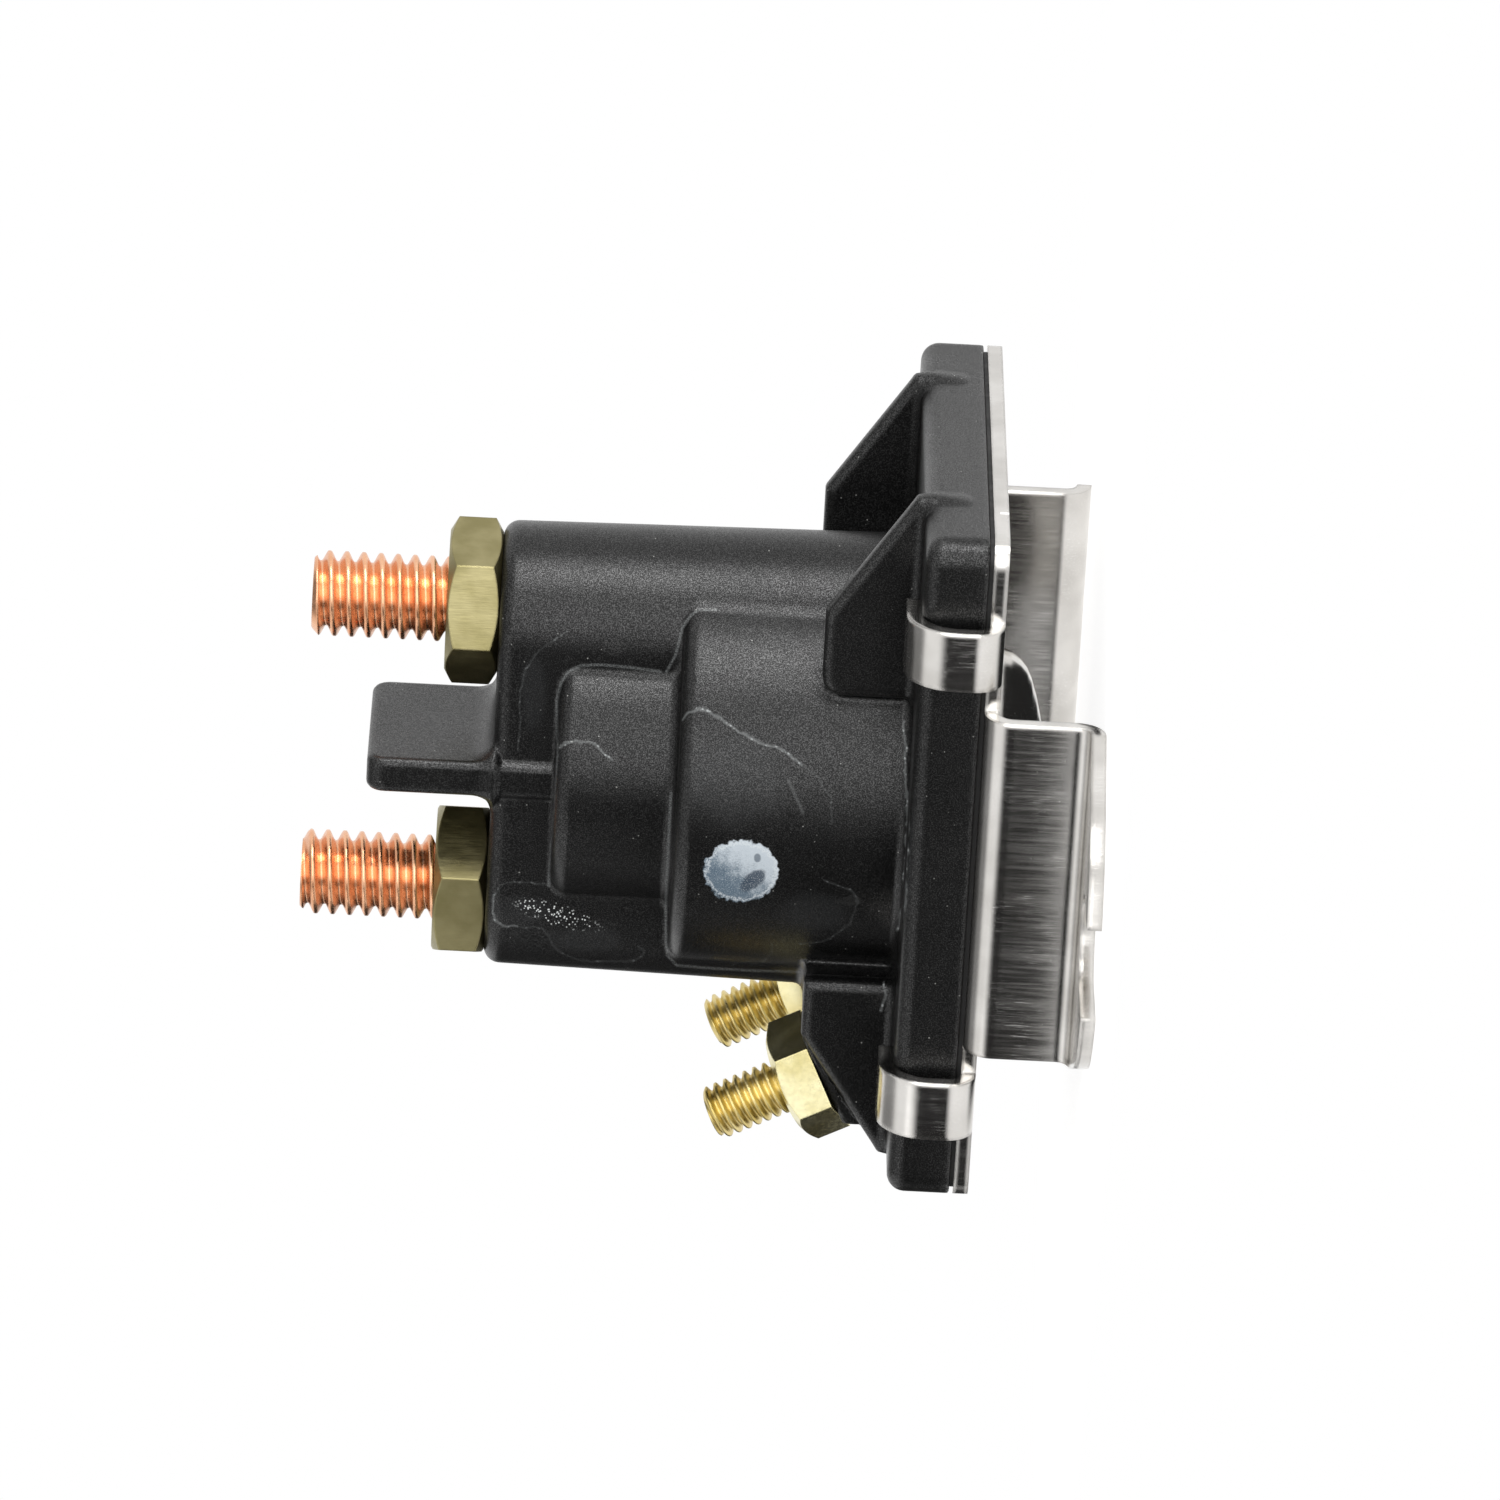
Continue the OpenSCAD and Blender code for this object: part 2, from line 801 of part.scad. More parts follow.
module coil_wrap() {
  color(fibre_colour)
    ring(winding_outer_r + fit_clear, winding_outer_r + wrap_t, winding_bottom, winding_top);
}

module guide_sleeve() {
  color(brass_colour)
    ring(sleeve_inner_r, sleeve_outer_r, bobbin_bottom, bobbin_top);
}

// Steel cup over the coil, with two notches for the coil leads
module frame_cup() {
  color(steel_colour)
    difference() {
      translate([0, 0, plate_front])
        cylinder(r = cup_outer_r, h = cup_top - plate_front);
      translate([0, 0, plate_front - 1])
        cylinder(r = cup_inner_r, h = cup_ceiling - plate_front + 1);
      translate([0, 0, cup_ceiling - 1])
        cylinder(r = pole_neck_r + fit_clear, h = cup_t + 2);
      for (side = [-1, 1])
        translate([-cup_outer_r, side * lead_y, lead_z - 1])
          cube([8, 3.6, 4], center = true);
    }
}

// Fixed iron core, spigoted into the cup and bored for the rod
module pole_piece() {
  color(steel_colour)
    rotate_extrude()
      polygon([[pole_bore_r, pole_bottom], [pole_r, pole_bottom], [pole_r, cup_ceiling - fit_clear],
        [pole_neck_r, cup_ceiling - fit_clear], [pole_neck_r, cup_top - fit_clear],
        [pole_bore_r, cup_top - fit_clear]]);
}

module fibre_washer() {
  color(fibre_colour)
    ring(pole_bore_r + 0.3, cup_outer_r, cup_top, coil_chamber_top);
}

module rest_bumper() {
  color(rubber_colour)
    ring(1, bumper_r, bumper_bottom, plunger_bottom);
}

// Lead from a control stud head down to the coil wrap, through a notch in the cup
module coil_lead(side) {
  head_depth = control_wall + control_head_t + wire_r + fit_clear;
  start = [-control_seat_x + head_depth * sin(control_tilt), side * control_pitch / 2,
    flange_front + control_seat_height - head_depth * cos(control_tilt)];
  reach = winding_outer_r + wrap_t + wire_r + fit_clear;
  finish_y = side * lead_y;
  finish = [-sqrt(pow(reach, 2) - pow(finish_y, 2)), finish_y, lead_z];
  knee = [finish[0] - lead_bend_reach, finish_y + side * lead_bend_shift, lead_z];
  steps = 8;
  path = [for (i = [0 : steps]) let (t = i / steps)
    pow(1 - t, 2) * start + 2 * t * (1 - t) * knee + pow(t, 2) * finish];
  color(copper_colour)
    swept_wire(path, wire_r, 8);
}

// Round wire along a path that never runs straight up, as triangles
module swept_wire(path, r, sides) {
  last = len(path) - 1;
  points = [for (i = [0 : last], k = [0 : sides - 1])
    let (run = path[min(i + 1, last)] - path[max(i - 1, 0)], ahead = run / norm(run),
      flat = cross(ahead, [0, 0, 1]), across = flat / norm(flat), over = cross(across, ahead),
      around = 360 * k / sides)
      path[i] + r * (cos(around) * across + sin(around) * over)];
  first_cap = [for (k = [1 : sides - 2]) [0, k, k + 1]];
  base = last * sides;
  last_cap = [for (k = [1 : sides - 2]) [base, base + k + 1, base + k]];
  lower_half = [for (i = [0 : last - 1], k = [0 : sides - 1])
    [i * sides + k, (i + 1) * sides + k, i * sides + (k + 1) % sides]];
  upper_half = [for (i = [0 : last - 1], k = [0 : sides - 1])
    [(i + 1) * sides + k, (i + 1) * sides + (k + 1) % sides, i * sides + (k + 1) % sides]];
  polyhedron(points, concat(first_cap, last_cap, lower_half, upper_half), convexity = 10);
}

module signal_lead() {
  coil_lead(-1);
}

module ground_lead() {
  coil_lead(1);
}

// Moving pieces

module plunger() {
  edge = 0.4;
  color(steel_colour)
    rotate_extrude()
      polygon([[0, plunger_bottom], [plunger_r - edge, plunger_bottom], [plunger_r, plunger_bottom + edge],
        [plunger_r, plunger_top - edge], [plunger_r - edge, plunger_top], [spring_bore_r, plunger_top],
        [spring_bore_r, spring_seat], [rod_r + fit_clear, spring_seat], [rod_r + fit_clear, rod_bottom],
        [0, rod_bottom]]);
}

// Rod with the collar that carries the contact spring, and a groove for the clip
module push_rod() {
  groove_low = disc_top + upper_washer_t;
  groove_high = groove_low + clip_ring_t;
  color(steel_colour)
    rotate_extrude()
      polygon([[0, rod_bottom], [rod_r, rod_bottom], [rod_r, collar_bottom], [collar_r, collar_bottom],
        [collar_r, collar_top], [rod_r, collar_top], [rod_r, groove_low], [clip_groove_r, groove_low],
        [clip_groove_r, groove_high], [rod_r, groove_high], [rod_r, rod_top - 0.3], [rod_r - 0.3, rod_top],
        [0, rod_top]]);
}

module contact_disc() {
  color(copper_colour)
    ring(insulator_neck_r + fit_clear, disc_r, disc_bottom, disc_top);
}

// Shouldered bush that keeps the disc off the rod
module disc_insulator() {
  bore = rod_r + fit_clear;
  color(fibre_colour)
    rotate_extrude()
      polygon([[bore, contact_spring_top], [insulator_r, contact_spring_top], [insulator_r, disc_bottom],
        [insulator_neck_r, disc_bottom], [insulator_neck_r, disc_top], [bore, disc_top]]);
}

module insulating_washer() {
  color(fibre_colour)
    ring(rod_r + fit_clear, insulator_r, disc_top, disc_top + upper_washer_t);
}

// Open spring ring seated in the groove of the rod
module retaining_clip() {
  color(steel_colour)
    translate([0, 0, disc_top + upper_washer_t])
      linear_extrude(clip_ring_t)
        difference() {
          circle(rod_r + 1.2);
          circle(clip_groove_r + fit_clear);
          translate([0, -clip_groove_r - fit_clear])
            square([rod_r + 2, 2 * (clip_groove_r + fit_clear)]);
        }
}

// Round wire coiled up Z between two levels, as triangles along the helix
module coil_spring(mean_r, wire_r, low, high, pitch) {
  turns = max(1, floor((high - low) / pitch));
  sides = 7;
  rings_per_turn = 14;
  count = turns * rings_per_turn;
  rise = high - low - 2 * wire_r;
  points = [for (i = [0 : count], k = [0 : sides - 1])
    let (turn = 360 * i / rings_per_turn, around = 360 * k / sides, out = mean_r + wire_r * cos(around))
      [out * cos(turn), out * sin(turn), low + wire_r + rise * i / count + wire_r * sin(around)]];
  first_cap = [for (k = [1 : sides - 2]) [0, k, k + 1]];
  last = count * sides;
  last_cap = [for (k = [1 : sides - 2]) [last, last + k + 1, last + k]];
  lower_half = [for (i = [0 : count - 1], k = [0 : sides - 1])
    [i * sides + k, (i + 1) * sides + k, i * sides + (k + 1) % sides]];
  upper_half = [for (i = [0 : count - 1], k = [0 : sides - 1])
    [(i + 1) * sides + k, (i + 1) * sides + (k + 1) % sides, i * sides + (k + 1) % sides]];
  polyhedron(points, concat(first_cap, last_cap, lower_half, upper_half), convexity = 10);
}

module return_spring() {
  color(steel_colour)
    coil_spring(return_spring_r, return_wire_r, spring_seat + spring_gap, pole_bottom - spring_gap,
      return_coil_pitch);
}

module contact_spring() {
  color(steel_colour)
    coil_spring(contact_spring_r, contact_wire_r, collar_top + spring_gap,
      contact_spring_top - spring_gap, contact_coil_pitch);
}

housing();
mounting_plate();
base_gasket();
battery_stud();
motor_stud();
battery_nut();
motor_nut();
signal_stud();
ground_stud();
signal_nut();
ground_nut();
coil_bobbin();
coil_winding();
coil_wrap();
guide_sleeve();
frame_cup();
pole_piece();
plunger();
push_rod();
return_spring();
contact_disc();
disc_insulator();
insulating_washer();
contact_spring();
retaining_clip();
fibre_washer();
rest_bumper();
signal_lead();
ground_lead();
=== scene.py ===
"""Looks of a starter solenoid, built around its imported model."""

import json
import math

import bpy
import numpy as np
from mathutils import Matrix, Vector


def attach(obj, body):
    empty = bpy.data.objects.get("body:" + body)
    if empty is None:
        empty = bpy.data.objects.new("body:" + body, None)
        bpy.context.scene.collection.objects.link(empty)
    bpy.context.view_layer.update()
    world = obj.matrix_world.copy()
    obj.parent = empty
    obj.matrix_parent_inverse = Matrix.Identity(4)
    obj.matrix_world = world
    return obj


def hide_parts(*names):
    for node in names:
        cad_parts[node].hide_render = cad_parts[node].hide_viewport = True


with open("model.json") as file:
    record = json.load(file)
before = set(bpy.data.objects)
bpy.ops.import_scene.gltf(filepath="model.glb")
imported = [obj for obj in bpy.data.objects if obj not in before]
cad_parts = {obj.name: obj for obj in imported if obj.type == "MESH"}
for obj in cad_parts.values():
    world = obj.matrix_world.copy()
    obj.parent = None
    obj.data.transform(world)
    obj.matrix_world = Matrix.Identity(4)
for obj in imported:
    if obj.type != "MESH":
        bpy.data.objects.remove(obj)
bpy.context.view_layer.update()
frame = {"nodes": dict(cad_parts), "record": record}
MM = 0.001

# Levels along Z in millimetres, the same as in the part's source
FLANGE_BACK = 9.1
FLANGE_FRONT = 13.75
COIL_DRUM_TOP = 30.75
CONTACT_DRUM_TOP = 39.75
END_FACE = 44.45
STUD_TOP = 58.4

# Distance between the power studs, and the seat and the tilt of the control studs
STUD_PITCH = 22.6
CONTROL_SEAT = (-21.66, 8.2, FLANGE_FRONT + 4.72)
CONTROL_TILT = math.radians(27.2)


# Camera, at the photograph's viewing angle

IMAGE_PIXELS = 1500.0
FOCAL_PIXELS = 12042.0
SENSOR_WIDTH = 36.0
CLIP_RANGE = (0.05, 20.0)
CAMERA_ELEVATION = math.radians(23.0)
CAMERA_YAW = math.radians(1.06)
CAMERA_ROLL = math.radians(3.31)
CAMERA_DISTANCE = 0.9
# The point in the middle of the photograph, in millimetres
PHOTO_MIDDLE = (0.35, 0.0, FLANGE_FRONT + 11.55)


def view_directions():
    """Directions of the photograph: away from the camera, and to its picture's right and top."""
    tilt, yaw, roll = CAMERA_ELEVATION, CAMERA_YAW, CAMERA_ROLL
    flat = math.cos(tilt)
    ahead = Vector((-math.sin(tilt), flat * math.cos(yaw), -flat * math.sin(yaw)))
    left = Vector((0.0, math.sin(yaw), math.cos(yaw)))
    left = (left - ahead * left.dot(ahead)).normalized()
    up = ahead.cross(left)
    right_of_image = -left * math.cos(roll) + up * math.sin(roll)
    top_of_image = left * math.sin(roll) + up * math.cos(roll)
    return ahead, right_of_image, top_of_image


AHEAD, RIGHT_OF_IMAGE, TOP_OF_IMAGE = view_directions()


def add_object(name, data):
    """A new object in the scene."""
    obj = bpy.data.objects.new(name, data)
    bpy.context.scene.collection.objects.link(obj)
    return obj


def make_camera():
    data = bpy.data.cameras.new("camera")
    data.sensor_width = SENSOR_WIDTH
    data.lens = FOCAL_PIXELS / IMAGE_PIXELS * SENSOR_WIDTH
    data.clip_start, data.clip_end = CLIP_RANGE
    camera = add_object("camera", data)
    turn = Matrix((RIGHT_OF_IMAGE, TOP_OF_IMAGE, -AHEAD)).transposed().to_4x4()
    target = Vector(PHOTO_MIDDLE) * MM
    camera.matrix_world = Matrix.Translation(target - AHEAD * CAMERA_DISTANCE) @ turn
    bpy.context.scene.camera = camera


# Node graph helpers

def new_material(name):
    material = bpy.data.materials.new(name)
    material.use_nodes = True
    material.node_tree.nodes.clear()
    return material


class Graph:
    """Short names for the shader nodes that the materials share."""

    def __init__(self, tree):
        self.tree = tree

    def node(self, kind, **sockets):
        """A new node, with an underscore for each space in its sockets' names."""
        made = self.tree.nodes.new(kind)
        for key, value in sockets.items():
            self.feed(made.inputs[key.replace("_", " ")], value)
        return made

    def feed(self, socket, value):
        """Links a socket to an output, or sets its constant."""
        if isinstance(value, bpy.types.NodeSocket):
            self.tree.links.new(value, socket)
        else:
            socket.default_value = value

    def place(self):
        """Position on the object, in millimetres."""
        coordinates = self.node("ShaderNodeTexCoord").outputs["Object"]
        scale = self.node("ShaderNodeVectorMath")
        scale.operation = "SCALE"
        self.feed(scale.inputs[0], coordinates)
        scale.inputs["Scale"].default_value = 1.0 / MM
        return scale.outputs[0]

    def vector(self, operation, a, b=None):
        made = self.node("ShaderNodeVectorMath")
        made.operation = operation
        self.feed(made.inputs[0], a)
        if b is not None:
            self.feed(made.inputs[1], b)
        return made.outputs["Value" if operation in ("LENGTH", "DOT_PRODUCT") else 0]

    def math(self, operation, a, b=None, clamp=False):
        made = self.node("ShaderNodeMath")
        made.operation = operation
        made.use_clamp = clamp
        self.feed(made.inputs[0], a)
        if b is not None:
            self.feed(made.inputs[1], b)
        return made.outputs[0]

    def times(self, a, b):
        return self.math("MULTIPLY", a, b)

    def noise(self, vector, scale, detail=3.0, roughness=0.5):
        made = self.node("ShaderNodeTexNoise", Scale=scale, Detail=detail, Roughness=roughness)
        self.feed(made.inputs["Vector"], vector)
        return made.outputs["Fac"]

    def voronoi(self, vector, scale):
        made = self.node("ShaderNodeTexVoronoi", Scale=scale)
        self.feed(made.inputs["Vector"], vector)
        return made.outputs["Distance"]

    def ramp(self, value, low, high, at_low=0.0, at_high=1.0):
        """A smooth step between two results as the value goes from low to high."""
        made = self.node("ShaderNodeMapRange")
        made.interpolation_type = "SMOOTHSTEP"
        for key, item in (("Value", value), ("From Min", low), ("From Max", high),
                          ("To Min", at_low), ("To Max", at_high)):
            self.feed(made.inputs[key], item)
        return made.outputs[0]

    def fade(self, value, low, high, share=1.0):
        """A share below the low value, and a smooth fall to zero at the high one."""
        return self.ramp(value, low, high, share, 0.0)

    def mix(self, factor, a, b):
        made = self.node("ShaderNodeMix")
        made.data_type = "RGBA"
        self.feed(made.inputs["Factor"], factor)
        self.feed(made.inputs["A"], a)
        self.feed(made.inputs["B"], b)
        return made.outputs["Result"]

    def bump(self, height, distance, strength, normal=None):
        made = self.node("ShaderNodeBump", Strength=strength, Distance=distance)
        self.feed(made.inputs["Height"], height)
        if normal is not None:
            self.feed(made.inputs["Normal"], normal)
        return made.outputs[0]

    def rounded_edges(self, radius):
        made = self.node("ShaderNodeBevel", Radius=radius)
        made.samples = 4
        return made.outputs[0]

    def mixed_shader(self, factor, a, b):
        made = self.node("ShaderNodeMixShader", Fac=factor)
        self.tree.links.new(a, made.inputs[1])
        self.tree.links.new(b, made.inputs[2])
        return made.outputs[0]

    def output(self, shader, kind="ShaderNodeOutputMaterial"):
        self.tree.links.new(shader, self.node(kind).inputs[0])

    def finish(self, **sockets):
        """The principled shader and the material's output."""
        self.output(self.node("ShaderNodeBsdfPrincipled", **sockets).outputs[0])


def grey(value):
    return (value, value, value, 1.0)


def joined(g, operation, values):
    """One value from several.

    A generator goes in, so that each value is joined as soon as it is made. Cycles has room for
    only so many values at once, and shows a material that needs more as plain black.
    """
    total = None
    for value in values:
        total = value if total is None else g.math(operation, total, value)
    return total


def near_side(g, place):
    """Millimetres right and up from the photograph's middle, and one on the part's near half."""
    shift = g.vector("SUBTRACT", place, PHOTO_MIDDLE)
    right = g.vector("DOT_PRODUCT", shift, RIGHT_OF_IMAGE)
    rise = g.vector("DOT_PRODUCT", shift, TOP_OF_IMAGE)
    flat = g.node("ShaderNodeCombineXYZ", X=right, Y=rise).outputs[0]
    depth = g.node("ShaderNodeSeparateXYZ", Vector=place).outputs["Y"]
    return flat, g.fade(depth, -1.5, 0.0)


def blob(g, flat, centre, radii, wobble, scale):
    """Distance from a centre in shares of an uneven oval's radius, one on its outline."""
    shift = g.vector("SUBTRACT", flat, (*centre, 0.0))
    oval = g.vector("LENGTH", g.vector("DIVIDE", shift, (*radii, 1.0)))
    uneven = g.times(g.math("SUBTRACT", g.noise(flat, scale, 2.0), 0.5), wobble)
    return g.math("ADD", oval, uneven)


def turned_blob(g, flat, centre, angle, radii, wobble, scale):
    """As blob, with the oval turned about its centre."""
    shift = g.vector("SUBTRACT", flat, (*centre, 0.0))
    turned = g.node("ShaderNodeVectorRotate", Vector=shift, Angle=angle).outputs[0]
    return blob(g, turned, (0.0, 0.0), radii, wobble, scale)


def band(g, value, centre, half):
    """One along a line where the value equals the centre, fading to zero on both sides."""
    return g.fade(g.math("ABSOLUTE", g.math("SUBTRACT", value, centre)), 0.0, half)


def path_distance(g, flat, points):
    """Distance in millimetres to a path drawn on the near side."""
    best = None
    for (u0, v0), (u1, v1) in zip(points, points[1:]):
        eu, ev = u1 - u0, v1 - v0
        square = eu * eu + ev * ev
        shift = g.vector("SUBTRACT", flat, (u0, v0, 0.0))
        along = g.vector("DOT_PRODUCT", shift, (eu / square, ev / square, 0.0))
        # Not the node's own clamp, which Cycles works out late and so keeps all values in use
        along = g.math("MAXIMUM", g.math("MINIMUM", along, 1.0), 0.0)
        reach = g.node("ShaderNodeVectorMath")
        reach.operation = "SCALE"
        reach.inputs[0].default_value = (eu, ev, 0.0)
        g.feed(reach.inputs["Scale"], along)
        length = g.vector("LENGTH", g.vector("SUBTRACT", shift, reach.outputs[0]))
        best = length if best is None else g.math("MINIMUM", best, length)
    return best


def drawn_lines(g, flat, paths, core, reach, share):
    """A share along each path, fading to zero between two distances from it."""
    return joined(g, "MAXIMUM", (
        g.fade(path_distance(g, flat, points), core, reach, share) for points in paths))


# Marks on the near side, in millimetres right and up from the photograph's middle

# Edges of dried films
BRIGHT_FILMS = [
    [(-4.95, 2.2), (-4.5, 2.75), (-3.8, 3.0), (-3.1, 2.95), (-2.4, 2.5), (-1.1, 1.4), (0.7, 0.6),
     (2.3, 0.0), (3.1, -0.4), (3.7, -0.95)],
    [(-14.1, 0.1), (-13.6, 0.5), (-12.9, 0.75), (-12.2, 0.65), (-11.4, 0.3), (-10.2, -0.75)],
    [(11.35, 2.0), (11.45, -2.0), (11.5, -7.3), (11.35, -11.0), (10.9, -13.3)],
    [(10.0, -17.2), (9.95, -18.6), (9.7, -19.3)],
    [(-19.15, -10.8), (-19.2, -12.0), (-18.95, -12.6), (-18.4, -13.1), (-17.4, -13.2)],
]
FAINT_FILMS = [
    [(3.7, -0.9), (5.0, -2.0), (6.0, -3.6), (6.1, -5.3)],
    [(-13.6, 8.8), (-15.1, 7.7), (-16.5, 6.2), (-17.0, 4.4), (-17.1, 0.6), (-17.3, -0.1)],
    [(5.5, -9.6), (7.4, -10.3), (8.0, -11.3), (7.3, -12.9), (5.9, -14.0), (3.7, -14.4)],
    [(-17.4, -13.2), (-15.5, -13.3), (-14.95, -13.8), (-14.75, -14.5), (-13.95, -15.3),
     (-13.1, -15.6), (-11.0, -15.85), (-9.2, -15.8), (-8.1, -15.4), (-7.95, -15.0), (-8.3, -14.7)],
    [(-19.15, -10.8), (-18.5, -10.05), (-17.0, -9.9), (-15.1, -10.0), (-14.7, -10.15)],
    [(1.5, -14.3), (1.6, -15.1), (1.0, -15.8), (-1.2, -16.0)],
]

# Painted highlights along the ridges of the contact drum and the coil drum
RIDGE_HIGHLIGHT_PATHS = [
    [(-6.17, 5.8), (-5.5, 6.98), (-5.2, 8.1), (-5.0, 9.0), (-4.4, 9.9), (-3.8, 10.35),
     (-2.5, 10.35)],
    [(-15.0, -10.1), (-14.25, -0.45), (-14.3, 3.7), (-13.95, 5.0), (-13.4, 5.8), (-12.5, 6.24),
     (-11.0, 6.3), (-8.8, 6.1), (-6.6, 5.8)],
    [(-5.83, -3.2), (-6.3, -12.0), (-6.2, -15.3), (-5.5, -16.1), (-3.4, -16.3), (0.0, -16.5),
     (3.7, -16.6)],
]

# Centre and radii of the soft stains, of the sprayed specks, and of the dab of paint with the
# worn place and the dark spot in it
STAINS = [
    ((-1.0, -2.2), (4.6, 4.2)), ((-17.0, -12.0), (2.6, 1.4)), ((-12.2, -14.2), (3.6, 1.2)),
    ((4.6, -12.0), (3.2, 1.9)), ((-16.0, 4.2), (1.2, 3.6)),
]
SPRAY_CENTRE, SPRAY_RADII, SPRAY_ANGLE = (-14.3, -12.3), (3.0, 0.75), 0.3
DAB_CENTRE, DAB_RADII = (-0.66, -8.95), (2.75, 2.25)
WORN_CENTRE, WORN_RADII, WORN_ANGLE = (0.25, -9.6), (1.15, 0.6), -0.6
SPOT_CENTRE, SPOT_RADII = (0.55, -7.95), (0.28, 0.36)

# A scratch on the coil drum, and nicks across the plate's edge
SCRATCH = [(2.8, -2.2), (3.9, -4.6)]
NICKS = [[(18.0, 24.75), (19.0, 24.7)], [(18.3, 17.25), (19.2, 17.2)]]


# Materials

WORN_AND_HIGHLIGHT_GREY = (0.12, 0.12, 0.118, 1)
CREASE_GLINT_GREY = (0.16, 0.16, 0.155, 1)
SPECKLE_GREY = (0.026, 0.026, 0.0255, 1)
STAIN_GREY = (0.032, 0.033, 0.034, 1)
SCRATCH_GREY = (0.3, 0.31, 0.31, 1)
# Grey shared by the real film edges and the painted ridge highlights
FILM_AND_HIGHLIGHT_GREY = (0.42, 0.44, 0.44, 1)
DUST_GREY = (0.42, 0.42, 0.4, 1)
SPRAY_WHITE = (0.85, 0.88, 0.87, 1)
PAINT_DARK = (0.13, 0.19, 0.25, 1)
PAINT_LIGHT = (0.64, 0.71, 0.77, 1)
PAINT_WORN = (0.045, 0.07, 0.105, 1)
PAINT_SPOT = (0.07, 0.1, 0.14, 1)
PAINT_FLECK = (0.78, 0.84, 0.88, 1)
PAINT_RIM = (0.82, 0.87, 0.9, 1)
SHEET_DARK = (0.6, 0.58, 0.55, 1)
SHEET_LIGHT = (0.74, 0.72, 0.69, 1)
SHEET_SCRATCH = (0.9, 0.89, 0.87, 1)
SHEET_NICK = (0.97, 0.97, 0.96, 1)


def clean_plastic(g, place):
    """Colour, roughness, gloss and fine grain of the speckled plastic, worn pale on its edges, with
    painted highlights on them and painted glints in its creases.
    """
    fine = g.noise(place, 12.0, 1.0, 0.5)
    broad = g.noise(place, 0.16, 3.0)
    bend = g.node("ShaderNodeNewGeometry").outputs["Pointiness"]
    # Convex edges turn paler: partly real wear, partly a painted highlight.
    worn_and_highlit_edge = g.times(g.ramp(bend, 0.508, 0.53), g.ramp(fine, 0.4, 0.6))
    # Concave creases turn lighter: a painted glint.
    crease_glint = g.times(g.ramp(bend, 0.492, 0.47), g.ramp(g.noise(place, 4.0, 2.0), 0.5, 0.62))
    colour = g.mix(broad, grey(0.002), grey(0.004))
    colour = g.mix(g.times(worn_and_highlit_edge, 0.25), colour, WORN_AND_HIGHLIGHT_GREY)
    colour = g.mix(g.times(crease_glint, 0.12), colour, CREASE_GLINT_GREY)
    rough = g.math("ADD", g.times(broad, 0.12), g.ramp(fine, 0.4, 0.62, 0.3, 0.22))
    gloss = g.ramp(fine, 0.41, 0.66, 0.21, 0.65)
    speckle = g.ramp(fine, 0.54, 0.7, 0.0, 0.9)
    return g.mix(speckle, colour, SPECKLE_GREY), rough, gloss, fine


def dust_specks(g, place):
    """One on a few small specks all over the part."""
    specks = g.fade(g.voronoi(place, 1.15), 0.045, 0.08)
    return g.times(specks, g.ramp(g.noise(place, 0.9, 1.0), 0.5, 0.55))


def film_lines(g, flat, near):
    """The uneven, beaded edges of the dried films."""
    waver = g.node("ShaderNodeTexNoise", Vector=flat, Scale=0.9, Detail=3.0).outputs["Color"]
    sway = g.vector("MULTIPLY", g.vector("SUBTRACT", waver, (0.5, 0.5, 0.5)), (0.7, 0.7, 0.0))
    bent = g.vector("ADD", flat, sway)
    lines = joined(g, "MAXIMUM", (
        g.fade(path_distance(g, bent, points), 0.0, width, share)
        for paths, width, share in ((BRIGHT_FILMS, 0.17, 1.0), (FAINT_FILMS, 0.13, 0.24))
        for points in paths))
    beads = g.ramp(g.voronoi(flat, 3.0), 0.2, 0.4, 1.0, 0.25)
    return g.times(g.times(lines, near), beads)


def ridge_highlights(g, flat, near, grain):
    """Thin broken lines of painted highlight along the ridges of the drums."""
    lines = drawn_lines(g, flat, RIDGE_HIGHLIGHT_PATHS, 0.03, 0.17, 0.32)
    return g.times(g.times(lines, near), g.ramp(grain, 0.4, 0.6, 0.25, 1.0))


def film_stains(g, flat, near):
    """Soft stains inside the dried films."""
    stains = joined(g, "MAXIMUM", (
        g.fade(blob(g, flat, centre, radii, 0.5, 0.4), 0.45, 1.0) for centre, radii in STAINS))
    return g.times(stains, near)


def sprayed_specks(g, flat, near):
    """Bright specks in a slanting oval."""
    spray = turned_blob(g, flat, SPRAY_CENTRE, SPRAY_ANGLE, SPRAY_RADII, 0.8, 1.2)
    specks = g.times(g.fade(g.voronoi(flat, 4.2), 0.2, 0.32), g.fade(spray, 0.8, 1.25))
    return g.times(specks, near)


